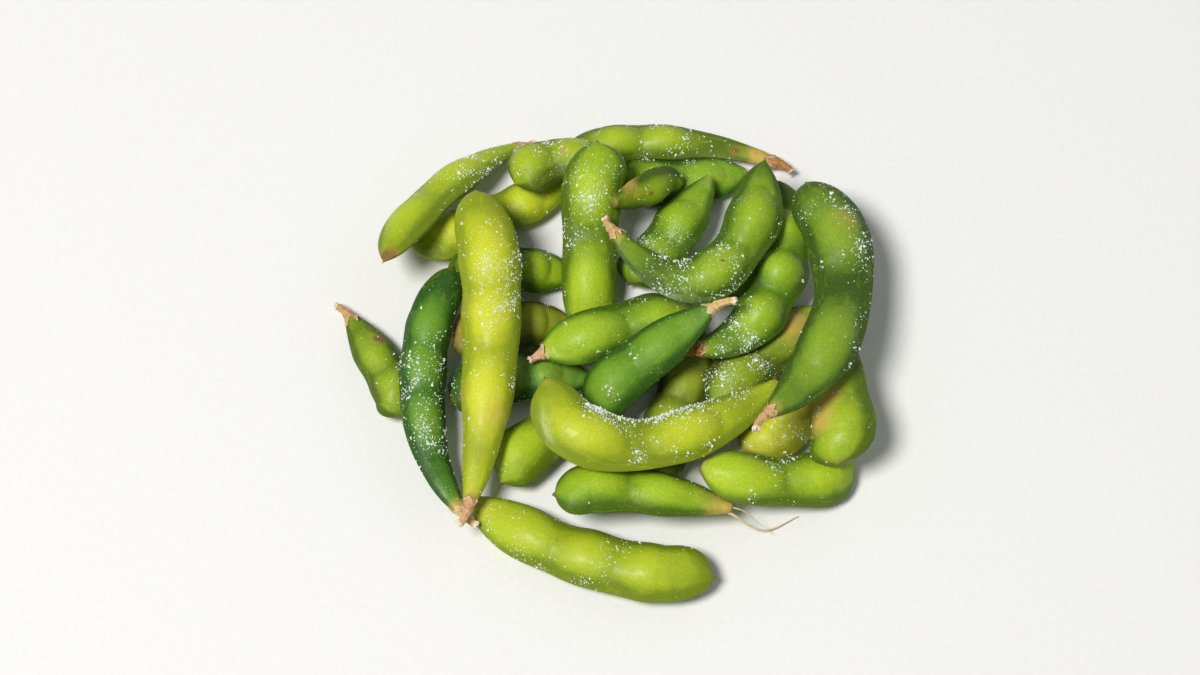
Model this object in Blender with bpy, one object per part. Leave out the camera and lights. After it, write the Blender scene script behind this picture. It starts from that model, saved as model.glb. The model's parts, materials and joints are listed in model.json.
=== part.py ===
"""Edamame pod bundle: boiled soybean pods heaped on a flat surface.

Each pod is one solid, lofted along a bent line, with a bulge over every bean, a slim neck at its
stem end and a small beak at its tip. The dried calyx and stem stub on its neck is a solid of its
own. The pods are laid one after another, bottom ones first: each keeps its place in plan, and is
lowered until it is carried on both sides of its middle by the surface or by the pods under it.
Units are metres and +Z is up.
"""

import math
from collections import namedtuple

import bpy
import numpy as np
from mathutils import Vector
from mathutils.bvhtree import BVHTree

MM = 0.001

# Fit between neighbours
CLEARANCE = 0.35 * MM  # left between a pod and what carries it
STEM_GAP = 0.3 * MM  # left between a pod's neck and its calyx
FOOT_DEPTH = 0.35 * MM  # skin this near the surface is pressed flat on it

# Pod proportions
POD_AROUND = 14  # points round a section
POD_STATIONS = 17  # sections along a pod
BODY_SHARE = 0.972  # of the length, and the rest is the beak
NECK_RADIUS = 1.2 * MM
BEAK_RADIUS = 0.6 * MM
BEAK_END = 0.2 * MM
BEAN_AFTER_NECK = 0.14  # from the end of the neck to the first bean, as a share of the body
LAST_BEAN = 0.79  # share of the body
ONE_BEAN = 0.56
BEAN_SPREAD = 0.42  # of the distance between beans
THIN_BETWEEN = 0.62  # thickness between beans, as a share of that over a bean
WAIST_INSIDE, WAIST_OUTSIDE = 0.82, 0.88  # half width between beans, on each side of the bend
EDGE_PINCH = 0.22  # how far a section tapers to its two seams
SLIM_AT_NECK = 0.82  # width at the neck's side of the body, as a share of that at the tip's
TIP_LEAN = 0.26  # of the half width, how far the tip leans to the inner side of the bend

# Stem proportions: distance from the neck, radius, depth of the five lobes
STEM_AROUND = 10
STEM_RINGS = (
    (0.0, 1.20, 0.12),
    (0.6, 1.55, 0.22),
    (1.4, 1.15, 0.10),
    (2.2, 0.66, 0.0),
    (3.6, 0.55, 0.0),
    (4.7, 0.64, 0.0),
    (5.0, 0.36, 0.0),
)
LOBES = 5

# Laying
START_HEIGHT = 90 * MM
LAYING_PASSES = 7

# Material finishes: colour, roughness
TONES = {
    "fresh": ((0.30, 0.47, 0.035), 0.38),
    "yellow": ((0.55, 0.58, 0.05), 0.40),
    "deep": ((0.085, 0.30, 0.045), 0.36),
    "olive": ((0.24, 0.33, 0.04), 0.42),
    "stem": ((0.42, 0.20, 0.06), 0.75),
}

Pod = namedtuple("Pod", "name tone beans width thick neck blunt stem middle tip arch roll hook")

# The bottom pods come first. Widths and thicknesses are over the beans, and the neck is a share of
# the body. A higher blunt keeps the outline full for longer before it closes at the tip. The stem
# end, middle and tip are places in plan, arch is how far the middle bows upwards, roll turns the
# pod about its own line, and hook is how far the stem stub turns aside, or None where the stub has
# come off. Lengths are in millimetres and angles in degrees.
PODS = (
    # on the surface
    Pod("pod_01", "fresh", 2, 10.0, 8.5, 0.24, 11, (-54, 15), (-46.5, 2.5), (-41, -8), 0, 0, 60),
    Pod("pod_02", "fresh", 3, 12.0, 9.0, 0.16, 11, (-7, 48), (-25, 38), (-41, 30), 0, 2, None),
    Pod("pod_03", "deep", 3, 12.0, 9.5, 0.16, 11, (-6, 25), (-20, 25.5), (-34, 23), 0, 0, None),
    Pod("pod_04", "deep", 3, 12.0, 9.0, 0.16, 11, (-3, 0), (-18, 0.5), (-32.5, -4), 0, -2, None),
    Pod("pod_05", "fresh", 2, 13.0, 9.5, 0.16, 11, (2, -8), (-10, -12), (-22.5, -23), 0, 4, None),
    Pod("pod_06", "olive", 3, 12.0, 8.5, 0.16, 11, (21, 11), (15, -7), (8, -28), 0, 3, None),
    Pod("pod_07", "olive", 2, 12.5, 9.0, 0.16, 11, (46, 17), (32.5, 4), (22, -7), 0, -3, None),
    Pod("pod_08", "olive", 2, 12.0, 9.0, 0.16, 11, (51, 3), (41, -8), (30, -17.5), 0, 3, None),
    Pod("pod_09", "deep", 2, 11.5, 8.0, 0.16, 11, (31, 50), (17, 47.5), (4, 47), 0, -2, None),
    Pod("pod_10", "deep", 1, 10.0, 8.0, 0.20, 11, (7, 14), (5, 5), (5, -4), 0, 0, None),
    Pod("pod_11", "deep", 2, 12.0, 8.5, 0.16, 11, (37, 39), (31.5, 29), (27, 19), 0, -4, None),
    Pod("pod_12", "fresh", 2, 10.5, 9.0, 0.38, 9, (38, 52.5), (15, 57), (-9, 53.5), 0, 4, -60),
    Pod("pod_13", "fresh", 3, 13.0, 9.5, 0.12, 11, (-27, -27.5), (-5, -40), (22, -45.5), 0, 3, None),
    # on those
    Pod("pod_14", "deep", 3, 10.5, 9.0, 0.24, 8, (-29, -31), (-37.5, -8), (-33, 22), 0, 10, 40),
    Pod("pod_15", "fresh", 2, 13.0, 8.5, 0.22, 6, (-18, 57), (-32, 46), (-47.5, 22), 0, 30, 50),
    Pod("pod_16", "olive", 3, 12.0, 9.0, 0.16, 11, (-7, 14), (-20, 12), (-32, 7.5), 0, 0, None),
    Pod("pod_17", "fresh", 2, 12.0, 9.0, 0.24, 14, (26, -31), (7, -28), (-10, -28), 0, 10, None),
    Pod("pod_18", "fresh", 2, 12.0, 9.5, 0.12, 12, (20, -23.5), (35, -25), (52.5, -20.5), 0, 10, None),
    Pod("pod_19", "fresh", 2, 13.5, 9.5, 0.24, 11, (23, 46), (17, 37), (7, 22), 0, 10, None),
    Pod("pod_20", "fresh", 2, 12.5, 9.0, 0.16, 14, (0, 46.5), (-9.5, 49.5), (-20, 44), 0, 15, None),
    Pod("pod_21", "olive", 2, 14.0, 9.5, 0.16, 14, (46, 8), (48.5, -8.5), (49.5, -23), 0, 20, None),
    Pod("pod_22", "fresh", 2, 13.0, 9.5, 0.14, 16, (-3, 9), (-3, 27), (-2, 49), 0, 0, None),
    Pod("pod_23", "fresh", 1, 10.5, 8.0, 0.24, 4, (2, 34.5), (10, 41), (17.5, 46), 0, 70, None),
    Pod("pod_24", "fresh", 3, 13.0, 9.5, 0.20, 9, (19, 3), (35, 15.5), (38.5, 44), 0, 10, 60),
    Pod("pod_25", "fresh", 2, 13.0, 9.5, 0.14, 11, (-13, 3), (1, 8), (20, 14), 3, 5, 20),
    Pod("pod_26", "deep", 2, 12.5, 9.5, 0.24, 12, (22.5, 9), (12, 2.5), (-4, -8.5), 0, 0, -50),
    Pod("pod_27", "fresh", 2, 13.5, 9.5, 0.22, 11, (36, -3), (6.5, -20), (-15, -10), 0, 0, None),
    Pod("pod_28", "fresh", 2, 13.5, 10.0, 0.32, 6, (2, 28.5), (21.5, 17.5), (36, 44.5), 0, 5, -20),
    Pod("pod_29", "fresh", 2, 14.0, 10.0, 0.18, 16, (33, -16.5), (49, 9), (45, 41.5), 0, 0, 60),
    Pod("pod_30", "yellow", 3, 13.0, 9.5, 0.22, 20, (-27.5, -31), (-23.5, 2), (-25.5, 38.5), 2, 0, -60),
)


def smoothstep(value):
    value = np.clip(value, 0, 1)
    return value * value * (3 - 2 * value)


def bean_places(pod):
    """Shares of the body's length at which a pod's beans lie."""
    if pod.beans == 1:
        return np.array([ONE_BEAN])
    return np.linspace(pod.neck + BEAN_AFTER_NECK, LAST_BEAN, pod.beans)


def bulge(share, pod):
    """1 over a bean and near 0 half way between two."""
    places = bean_places(pod)
    pitch = places[1] - places[0] if pod.beans > 1 else 0.5
    over = np.exp(-(((share - places[:, None]) / (BEAN_SPREAD * pitch)) ** 2)).sum(axis=0)
    return np.minimum(over, 1.0)


def outline(share, pod):
    """The body's width, as a share of its widest: a straight neck, then full, then a blunt tip."""
    swell = SLIM_AT_NECK + (1 - SLIM_AT_NECK) * smoothstep((share - 0.15) / 0.65)
    return swell * np.tanh(share / pod.neck) * np.sqrt(1 - share**pod.blunt)


def half_sizes(pod, along):
    """Half width inside and outside the bend, and half thickness, at shares of the whole length."""
    share = np.minimum(along / BODY_SHARE, 1.0)
    over = bulge(share, pod)
    ends = NECK_RADIUS * (1 - share) ** 3 + BEAK_RADIUS * share**12
    ends = ends - (BEAK_RADIUS - BEAK_END) * np.clip((along - BODY_SHARE) / (1 - BODY_SHARE), 0, 1)
    full = outline(share, pod)
    inside = full * (WAIST_INSIDE + (1 - WAIST_INSIDE) * over) * pod.width * MM / 2
    outside = full * (WAIST_OUTSIDE + (1 - WAIST_OUTSIDE) * over) * pod.width * MM / 2
    thick = full**1.4 * (THIN_BETWEEN + (1 - THIN_BETWEEN) * over) * pod.thick * MM / 2
    return inside + ends, outside + ends, thick + ends


def midline(pod, ends, share):
    """Points on the line through the stem end, middle and tip. ends is the height of both ends."""
    stem, middle, tip = (np.array(place, float) * MM for place in (pod.stem, pod.middle, pod.tip))
    bend = 2 * middle - (stem + tip) / 2
    s = np.asarray(share, float)[:, None]
    plan = (1 - s) ** 2 * stem + 2 * s * (1 - s) * bend + s**2 * tip
    chord = tip - stem
    across = ((plan - stem) @ chord / (chord @ chord))[:, None]
    height = ends[0] * (1 - across) + ends[1] * across + 4 * pod.arch * MM * across * (1 - across)
    return np.hstack([plan, height])


def even_stations(pod, ends, count):
    """Shares of the length, closer together at the neck and tip, and the line's points there."""
    fine = midline(pod, ends, np.linspace(0, 1, 200))
    walked = np.concatenate([[0], np.cumsum(np.linalg.norm(np.diff(fine, axis=0), axis=1))])
    step = np.linspace(0, 1, count)
    along = step - 0.055 * np.sin(2 * math.pi * step)
    points = np.stack([np.interp(along * walked[-1], walked, fine[:, k]) for k in range(3)], axis=1)
    ahead = np.gradient(fine, axis=0)
    tangents = np.stack([np.interp(along * walked[-1], walked, ahead[:, k]) for k in range(3)], axis=1)
    return along, points, tangents / np.linalg.norm(tangents, axis=1, keepdims=True)


def section_axes(tangents, roll):
    """Unit vectors across a section, along its width and along its thickness."""
    level = np.cross([0, 0, 1.0], tangents)
    level /= np.linalg.norm(level, axis=1, keepdims=True)
    upright = np.cross(tangents, level)
    turn = math.radians(roll)
    return (
        level * math.cos(turn) + upright * math.sin(turn),
        upright * math.cos(turn) - level * math.sin(turn),
    )


def bend_side(pod):
    """+1 if the outer side of the bend is on the left of the way from stem to tip, -1 if on the right."""
    stem, middle, tip = (Vector(place) for place in (pod.stem, pod.middle, pod.tip))
    return math.copysign(1, (tip - stem).cross(middle - stem))


def pod_rings(pod, ends):
    """Sections of the pod, as stations by points round by xyz."""
    along, points, tangents = even_stations(pod, ends, POD_STATIONS)
    wide, thick = section_axes(tangents, pod.roll)
    inside, outside, half_thick = (size[:, None] for size in half_sizes(pod, along))
    lean = TIP_LEAN * pod.width * MM / 2 * smoothstep((along[:, None] - 0.75) / 0.25)
    angle = np.linspace(0, 2 * math.pi, POD_AROUND, endpoint=False)
    out_wide = bend_side(pod) * (np.cos(angle) * np.where(np.cos(angle) > 0, outside, inside) - lean)
    out_thick = bend_side(pod) * np.sin(angle) * (1 - EDGE_PINCH * np.cos(angle) ** 2) * half_thick
    return (
        points[:, None]
        + out_wide[..., None] * wide[:, None]
        + out_thick[..., None] * thick[:, None]
    )


def stem_rings(pod, ends):
    """Sections of the calyx and stem stub, which go on from the neck and turn aside."""
    _, points, tangents = even_stations(pod, ends, POD_STATIONS)
    distance, radius, lobe = np.array(STEM_RINGS).T
    distance = distance * MM
    reach = distance[-1]
    turn = math.radians(pod.hook) * (distance / reach) ** 1.5
    outward = -tangents[0]
    level = np.cross([0, 0, 1.0], outward)
    level /= np.linalg.norm(level)
    heading = outward * np.cos(turn)[:, None] + level * np.sin(turn)[:, None]
    steps = np.diff(distance)[:, None] * (heading[1:] + heading[:-1]) / 2
    line = points[0] + outward * STEM_GAP + np.vstack([np.zeros(3), np.cumsum(steps, axis=0)])
    wide, thick = section_axes(heading, 0)
    angle = np.linspace(0, 2 * math.pi, STEM_AROUND, endpoint=False)
    size = radius[:, None] * MM * (1 + lobe[:, None] * np.cos(LOBES * angle))
    return (
        line[:, None]
        + (np.cos(angle) * size)[..., None] * wide[:, None]
        + (np.sin(angle) * size)[..., None] * thick[:, None]
    )


def skin(rings):
    """Vertices and faces of a closed loft through the rings, with a point at the middle of each end."""
    count, around = rings.shape[:2]
    vertices = np.vstack([rings.reshape(-1, 3), rings[0].mean(axis=0), rings[-1].mean(axis=0)])
    first, last = count * around, count * around + 1
    faces = []
    for k in range(around):
        n = (k + 1) % around
        faces.append((first, n, k))
        faces.append((last, (count - 1) * around + k, (count - 1) * around + n))
        for r in range(count - 1):
            a, b = r * around, (r + 1) * around
            faces.append((a + k, a + n, b + n))
            faces.append((a + k, b + n, b + k))
    return vertices, faces


def probes(vertices, faces):
    """Points all over a skin: its vertices and the middles of its edges and faces."""
    corners = vertices[np.array(faces)]
    edges = (corners + np.roll(corners, 1, axis=1)).reshape(-1, 3) / 2
    return np.vstack([vertices, edges, corners.mean(axis=1)])


def solids(pod, ends):
    """The pod, and its stem if it has one."""
    shapes = [skin(pod_rings(pod, ends))]
    if pod.hook is not None:
        shapes.append(skin(stem_rings(pod, ends)))
    return shapes


def drop_room(shape, laid, laid_tree):
    """Places in plan, and how far down each is clear, between a shape and the pods already laid."""
    down, up = Vector((0, 0, -1)), Vector((0, 0, 1))
    vertices, faces = shape
    places, room = [vertices[:, :2]], [vertices[:, 2]]
    if laid_tree is None:
        return places[0], room[0]
    hits = []
    for point in probes(vertices, faces):
        hit = laid_tree.ray_cast(Vector(point), down)[0]
        if hit is not None:
            hits.append((point[0], point[1], point[2] - hit.z - CLEARANCE))
    tree = BVHTree.FromPolygons(vertices.tolist(), faces)
    low, high = vertices.min(axis=0), vertices.max(axis=0)
    under = probes(*laid)
    near = ((under > low) & (under < high))[:, :2].all(axis=1)
    for point in under[near]:
        hit = tree.ray_cast(Vector(point), up)[0]
        if hit is not None:
            hits.append((point[0], point[1], hit.z - point[2] - CLEARANCE))
    if hits:
        hits = np.array(hits)
        places.append(hits[:, :2])
        room.append(hits[:, 2])
    return np.vstack(places), np.concatenate(room)


def settle(places, room, pod):
    """How far each end goes down so that the pod is carried on both sides of its middle."""
    stem, tip = (np.array(place, float) * MM for place in (pod.stem, pod.tip))
    chord = tip - stem
    across = (places - stem) @ chord / (chord @ chord) - 0.5
    stem_side, tip_side = across < 0, across > 0
    s, t = across[stem_side][:, None], across[tip_side][None, :]
    a, b = room[stem_side][:, None], room[tip_side][None, :]
    middle_room = (a * t - b * s) / (t - s)
    i, j = np.unravel_index(np.argmin(middle_room), middle_room.shape)
    slope = (b[0, j] - a[i, 0]) / (t[0, j] - s[i, 0])
    return np.array([middle_room[i, j] - slope / 2, middle_room[i, j] + slope / 2])


def lay(pod, laid, laid_tree):
    """Heights of the two ends once the pod lies on what is under it."""
    ends = np.array([START_HEIGHT, START_HEIGHT])
    for turn in range(LAYING_PASSES):
        places, room = drop_room(joined(solids(pod, ends)), laid, laid_tree)
        if turn < LAYING_PASSES - 1:
            ends = ends - settle(places, room, pod)
        else:
            ends = ends - room.min()
    return ends


def joined(parts):
    """Several (vertices, faces) as one."""
    vertices, faces, start = [], [], 0
    for part_vertices, part_faces in parts:
        vertices.append(part_vertices)
        faces.extend(tuple(start + i for i in face) for face in part_faces)
        start += len(part_vertices)
    return np.vstack(vertices), faces


def flattened(vertices):
    """The skin that all but touches the surface, pressed flat on it."""
    pressed = vertices.copy()
    pressed[pressed[:, 2] < FOOT_DEPTH, 2] = 0
    return pressed


def material(name, tone):
    """A material of the object's own, in one of the tones."""
    colour, roughness = TONES[tone]
    found = bpy.data.materials.new(name)
    found.use_nodes = True
    shader = found.node_tree.nodes["Principled BSDF"]
    shader.inputs["Base Color"].default_value = (*colour, 1)
    shader.inputs["Roughness"].default_value = roughness
    shader.inputs["Metallic"].default_value = 0
    return found


def add_object(name, shape, tone, middle, parent, collection):
    """One named object, with its own origin at middle."""
    vertices, faces = shape
    mesh = bpy.data.meshes.new(name)
    mesh.from_pydata((flattened(vertices) - middle).tolist(), [], faces)
    mesh.shade_smooth()
    mesh.materials.append(material(name, tone))
    obj = bpy.data.objects.new(name, mesh)
    collection.objects.link(obj)
    obj.location = middle
    obj.parent = parent


def main():
    for obj in list(bpy.data.objects):
        bpy.data.objects.remove(obj)
    collection = bpy.data.collections.new("edamame_pod_bundle")
    bpy.context.scene.collection.children.link(collection)

    rows, laid, laid_tree = [], None, None
    for pod in PODS:
        ends = lay(pod, laid, laid_tree)
        rows.append((pod, solids(pod, ends)))
        laid = joined([shape for row in rows for shape in row[1]])
        laid_tree = BVHTree.FromPolygons(laid[0].tolist(), laid[1])

    centre = (laid[0].min(axis=0) + laid[0].max(axis=0)) / 2
    bundle = bpy.data.objects.new("bundle", None)
    collection.objects.link(bundle)
    bundle.location = (-centre[0], -centre[1], 0)
    for pod, shapes in rows:
        middle = shapes[0][0].mean(axis=0)
        names = (pod.name, pod.name.replace("pod", "stem"))
        for name, tone, shape in zip(names, (pod.tone, "stem"), shapes):
            add_object(name, shape, tone, middle, bundle, collection)


main()
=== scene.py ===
# %% [markdown]
# # A bundle of salted edamame pods
# The real thing is a heap of boiled soybean pods: soft, moist, green shells that bulge over their
# beans, with a thin seam down each edge, a dry brown calyx on some necks, and coarse salt over all.
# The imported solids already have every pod's size and place. This script dresses them: each solid is
# read back as sections, redrawn finely, and given its seams, beans, skin, stub, hairs and salt.
#
# We start from an empty scene and load the solids. They stay as they are, and each skin and stalk
# made here stands in for the solid that it replaces.

import json
import math

import bmesh
import bpy
import numpy as np
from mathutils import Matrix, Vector, noise
from mathutils.bvhtree import BVHTree

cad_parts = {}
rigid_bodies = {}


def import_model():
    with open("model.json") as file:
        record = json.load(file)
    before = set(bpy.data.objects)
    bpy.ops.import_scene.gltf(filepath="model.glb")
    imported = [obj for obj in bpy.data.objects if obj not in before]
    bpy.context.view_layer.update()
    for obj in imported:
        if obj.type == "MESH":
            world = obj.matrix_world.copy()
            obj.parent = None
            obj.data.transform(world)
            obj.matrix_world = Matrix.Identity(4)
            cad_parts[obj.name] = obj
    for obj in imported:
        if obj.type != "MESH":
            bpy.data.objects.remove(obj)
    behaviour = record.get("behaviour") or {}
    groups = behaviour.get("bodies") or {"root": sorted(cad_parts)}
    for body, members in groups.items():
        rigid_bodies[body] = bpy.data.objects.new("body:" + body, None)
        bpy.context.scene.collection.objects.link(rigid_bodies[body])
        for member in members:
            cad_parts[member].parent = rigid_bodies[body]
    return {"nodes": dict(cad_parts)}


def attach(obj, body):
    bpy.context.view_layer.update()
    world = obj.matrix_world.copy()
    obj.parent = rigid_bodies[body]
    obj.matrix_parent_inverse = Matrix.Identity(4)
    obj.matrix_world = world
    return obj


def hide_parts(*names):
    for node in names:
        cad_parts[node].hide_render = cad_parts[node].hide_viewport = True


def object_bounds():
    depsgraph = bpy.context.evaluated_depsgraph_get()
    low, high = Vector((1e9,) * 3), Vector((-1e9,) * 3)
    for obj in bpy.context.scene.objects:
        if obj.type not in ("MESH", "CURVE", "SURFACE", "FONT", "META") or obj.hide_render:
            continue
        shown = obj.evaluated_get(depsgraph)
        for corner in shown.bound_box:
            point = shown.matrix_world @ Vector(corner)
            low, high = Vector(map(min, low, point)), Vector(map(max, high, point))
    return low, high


for leftover in list(bpy.data.objects):
    bpy.data.objects.remove(leftover)
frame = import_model()
cad_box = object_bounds()

MM = 0.001
POD_NAMES = sorted(name for name in frame["nodes"] if name.startswith("pod"))
STEM_NAMES = sorted(name for name in frame["nodes"] if name.startswith("stem"))
size = [round(v / MM) for v in cad_box[1] - cad_box[0]]
print(len(POD_NAMES), "pods and", len(STEM_NAMES), "stems in", size, "mm")

# %% [markdown]
# ## Camera, light and floor
# A heap of food is usually shown from well above, so that each pod's outline and the beans in it
# can be read. A camera could be placed by hand, but aiming it at the middle of the heap's own box,
# along a direction worked out from two angles, keeps it right if the heap changes size. One large
# soft lamp above and in front lights every bean's crown and lets the sides of the pods fall away
# into shade; a weaker, wider lamp at the back right and a pale sky keep the gaps readable. Both
# lamps stand far off, so that the floor is evenly bright.

# %% Camera, light and floor
VIEW_ELEVATION = math.radians(64)
CAMERA_DISTANCE = 0.60
VIEW_WIDTH = 0.250  # of the surface, across the view at the heap
SENSOR = 36  # mm

scene = bpy.context.scene
scene.view_settings.view_transform = "Standard"
heap_middle = (cad_box[0] + cad_box[1]) / 2
toward_camera = Vector((0, -math.cos(VIEW_ELEVATION), math.sin(VIEW_ELEVATION)))


def aimed(obj, place):
    """Put obj at place, looking at the middle of the heap."""
    obj.location = place
    obj.rotation_euler = (heap_middle - place).to_track_quat("-Z", "Y").to_euler()
    scene.collection.objects.link(obj)


camera = bpy.data.objects.new("camera", bpy.data.cameras.new("camera"))
camera.data.sensor_width = SENSOR
camera.data.lens = SENSOR * CAMERA_DISTANCE / VIEW_WIDTH
aimed(camera, heap_middle + toward_camera * CAMERA_DISTANCE)
scene.camera = camera

SKY_COLOUR, SKY_STRENGTH = (0.93, 0.96, 1.0, 1), 0.20
LAMPS = (  # name, place, size in metres, power in watts, colour
    ("key_lamp", (-0.78, -0.54, 1.92), 0.72, 45.0, (1.0, 0.985, 0.95)),
    ("fill_lamp", (1.35, 1.20, 1.26), 2.40, 5.4, (0.94, 0.97, 1.0)),
)
for name, place, size, power, colour in LAMPS:
    lamp = bpy.data.objects.new(name, bpy.data.lights.new(name, "AREA"))
    lamp.data.shape = "DISK"
    lamp.data.size = size
    lamp.data.energy = power
    lamp.data.color = colour
    aimed(lamp, Vector(place))

sky = bpy.data.worlds.new("pale_sky")
sky.use_nodes = True
glow = sky.node_tree.nodes["Background"].inputs
glow["Color"].default_value = SKY_COLOUR
glow["Strength"].default_value = SKY_STRENGTH
scene.world = sky
print("camera", [round(v, 3) for v in camera.location], "lens", round(camera.data.lens, 1), "mm")

# %% [markdown]
# ## Writing materials as sums
# A procedural material is a graph of small nodes. Drawn by hand it is easy to follow, but in code
# each Math node takes four lines. Wrapping a socket in a small class, and letting Python's + - and *
# add the Math nodes, keeps the recipe readable as a recipe. Colours don't go through Math nodes,
# which would turn them grey: they are mixed by a Mix node. A second class holds the material while
# it is made, with one method that adds any node and short names for those used most.

# %% A socket that does sums
class Value:
    """An output socket. Sums with numbers or other values add Math nodes to its tree."""

    def __init__(self, finish, socket):
        self.finish = finish
        self.socket = socket

    def __add__(self, other):
        return self.finish.maths("ADD", self, other)

    def __sub__(self, other):
        return self.finish.maths("SUBTRACT", self, other)

    def __rsub__(self, other):
        return self.finish.maths("SUBTRACT", other, self)

    def __mul__(self, other):
        return self.finish.maths("MULTIPLY", self, other)

    __radd__ = __add__
    __rmul__ = __mul__


# %% A material that adds nodes
class Finish:
    """A procedural material while it is being made."""

    def __init__(self, name, **constants):
        self.material = bpy.data.materials.new(name)
        self.material.use_nodes = True
        self.tree = self.material.node_tree
        self.shader = self.tree.nodes["Principled BSDF"]
        self.feed(self.shader, {key.replace("_", " "): value for key, value in constants.items()})

    def feed(self, node, inputs):
        for key, value in inputs.items():
            if isinstance(value, Value):
                self.tree.links.new(value.socket, node.inputs[key])
            else:
                node.inputs[key].default_value = value

    def node(self, kind, settings, inputs, output=0):
        """Any node: its settings first, then its sockets by name or number."""
        made = self.tree.nodes.new("ShaderNode" + kind)
        for key, value in settings.items():
            setattr(made, key, value)
        self.feed(made, inputs)
        return Value(self, made.outputs[output])

    def maths(self, operation, first, second):
        return self.node("Math", {"operation": operation}, {0: first, 1: second})

    def mixed(self, factor, first, second):
        """A colour between two others."""
        inputs = {"Factor": factor, 6: first, 7: second}
        return self.node("Mix", {"data_type": "RGBA"}, inputs, output=2)

    def between(self, value, low, high, to_low=0.0, to_high=1.0):
        """A value eased from one range into another and held at its ends."""
        inputs = {0: value, 1: low, 2: high, 3: to_low, 4: to_high}
        return self.node("MapRange", {"interpolation_type": "SMOOTHSTEP"}, inputs)

    def attribute(self, name):
        return self.node("Attribute", {"attribute_name": name}, {}, output="Fac")

    def skin_place(self, scale):
        """The piece's own map, along and round the skin in metres, scaled to repeats a metre."""
        place = self.node("UVMap", {"uv_map": "skin"}, {})
        return self.node("Mapping", {}, {"Vector": place, "Scale": (*scale, 1)})

    def grain(self, scale, detail=2.0, roughness=0.5, place=None, distortion=0.0):
        """Soft noise about 0.5, in repeats a metre of Object coordinates or of another place."""
        place = place or self.node("TexCoord", {}, {}, output="Object")
        inputs = {"Vector": place, "Scale": scale, "Detail": detail}
        inputs.update({"Roughness": roughness, "Distortion": distortion})
        return self.node("TexNoise", {}, inputs)

    def cells(self, scale):
        """Distance from the nearest middle in a pattern of cells."""
        place = self.node("TexCoord", {}, {}, output="Object")
        return self.node("TexVoronoi", {}, {"Vector": place, "Scale": scale})

    def raised(self, height, depth):
        """Raises the surface by height, a value from 0 to 1, times depth in metres."""
        bump = self.node("Bump", {}, {"Height": height, "Distance": depth, "Strength": 1.0})
        self.feed(self.shader, {"Normal": bump})

    def paint(self, **values):
        self.feed(self.shader, {key.replace("_", " "): value for key, value in values.items()})
        return self.material


# %% [markdown]
# ## Floor
# The heap lies on plain pale card, so that nothing takes the eye off it. One flat colour would look
# like no material at all, so a very fine fleck changes its tone and its height a little. A floor
# isn't part of the object.

# %% Floor
FLOOR_SIZE, FLOOR_DROP = 6, 0.1 * MM  # the floor lies just under the lowest skin
FLECK_SIZE, FLECK_DEPTH = 900, 0.04 * MM  # repeats a metre, and how deep
CARD = (0.80, 0.80, 0.79, 1), (0.88, 0.88, 0.87, 1)


def floor_finish():
    """Pale matt card with a very faint fleck."""
    finish = Finish("pale_card", Roughness=0.75)
    fleck = finish.grain(FLECK_SIZE, detail=4.0)
    colour = finish.mixed(fleck, *CARD)
    finish.raised(fleck, FLECK_DEPTH)
    return finish.paint(Base_Color=colour)


bpy.ops.mesh.primitive_plane_add(size=FLOOR_SIZE, location=(0, 0, -FLOOR_DROP))
floor = bpy.context.object
floor.name = "floor"
floor.data.materials.append(floor_finish())
print("floor material has", len(floor.data.materials[0].node_tree.nodes), "nodes")

# %% [markdown]
# ## Reading a pod back from its solid
# Each solid is a skin of loose triangles stretched over rings of points, from the stem end to the
# tip. To redraw it finely we need those rings again. The triangles are joined, the flat cap at one
# end is found as the fan of faces round the corner with the most edges, and from there each step
# to the neighbouring corners is the next ring. Sorting a ring by angle and turning it to match the
# ring before gives columns that run the length of the pod. Smoothing the triangles with a
# subdivision surface would be quicker, but it shrinks the tips and knows nothing of seams.

# %% Rings of a solid
AROUND_POD, AROUND_STEM = 14, 10  # points round a section of the solids
SAME_PLANE = 0.99999  # cosine between the normals of two faces of one flat cap
SAME_POINT = 0.001 * MM


def end_ring(solid):
    """The corners of the flat cap at one end."""
    hub = max(solid.verts, key=lambda corner: len(corner.link_edges))
    fans = [
        [other for other in hub.link_faces if other.normal.dot(face.normal) > SAME_PLANE]
        for face in hub.link_faces
    ]
    return {corner for face in max(fans, key=len) for corner in face.verts}


def loose_rings(node, around):
    """Each ring's points in no order, with the thicker end of the solid first."""
    solid = bmesh.new()
    solid.from_mesh(frame["nodes"][node].data)
    bmesh.ops.remove_doubles(solid, verts=solid.verts, dist=SAME_POINT)
    ring, seen, found = end_ring(solid), set(), []
    while ring:
        seen |= ring
        if len(ring) == around:
            found.append(np.array([corner.co for corner in sorted(ring, key=lambda c: c.index)]))
        ring = {edge.other_vert(corner) for corner in ring for edge in corner.link_edges} - seen
    solid.free()
    size = [np.linalg.norm(points - points.mean(axis=0), axis=1).mean() for points in found]
    return found if size[0] > size[-1] else found[::-1]


def unit(vectors):
    return vectors / np.linalg.norm(vectors, axis=-1, keepdims=True)


def sorted_spokes(points, heading, before):
    """Points about their centre, in order round heading, turned to lie nearest to those before."""
    spokes = points - points.mean(axis=0)
    across = unit(spokes[0] - spokes[0].dot(heading) * heading)
    upward = np.cross(heading, across)
    spokes = spokes[np.argsort(np.arctan2(spokes @ upward, spokes @ across))]
    if before is None:
        return spokes
    turned = [np.roll(spokes, k, axis=0) for k in range(len(spokes))]
    return min(turned, key=lambda spokes: np.linalg.norm(spokes - before))


def rings_of(node, around):
    """A solid's centre line and its spokes, as stations by points round by xyz."""
    found = loose_rings(node, around)
    line = np.array([points.mean(axis=0) for points in found])
    headings = unit(np.gradient(line, axis=0))
    spokes = []
    for points, heading in zip(found, headings):
        spokes.append(sorted_spokes(points, heading, spokes[-1] if spokes else None))
    return line, np.array(spokes)


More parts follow.
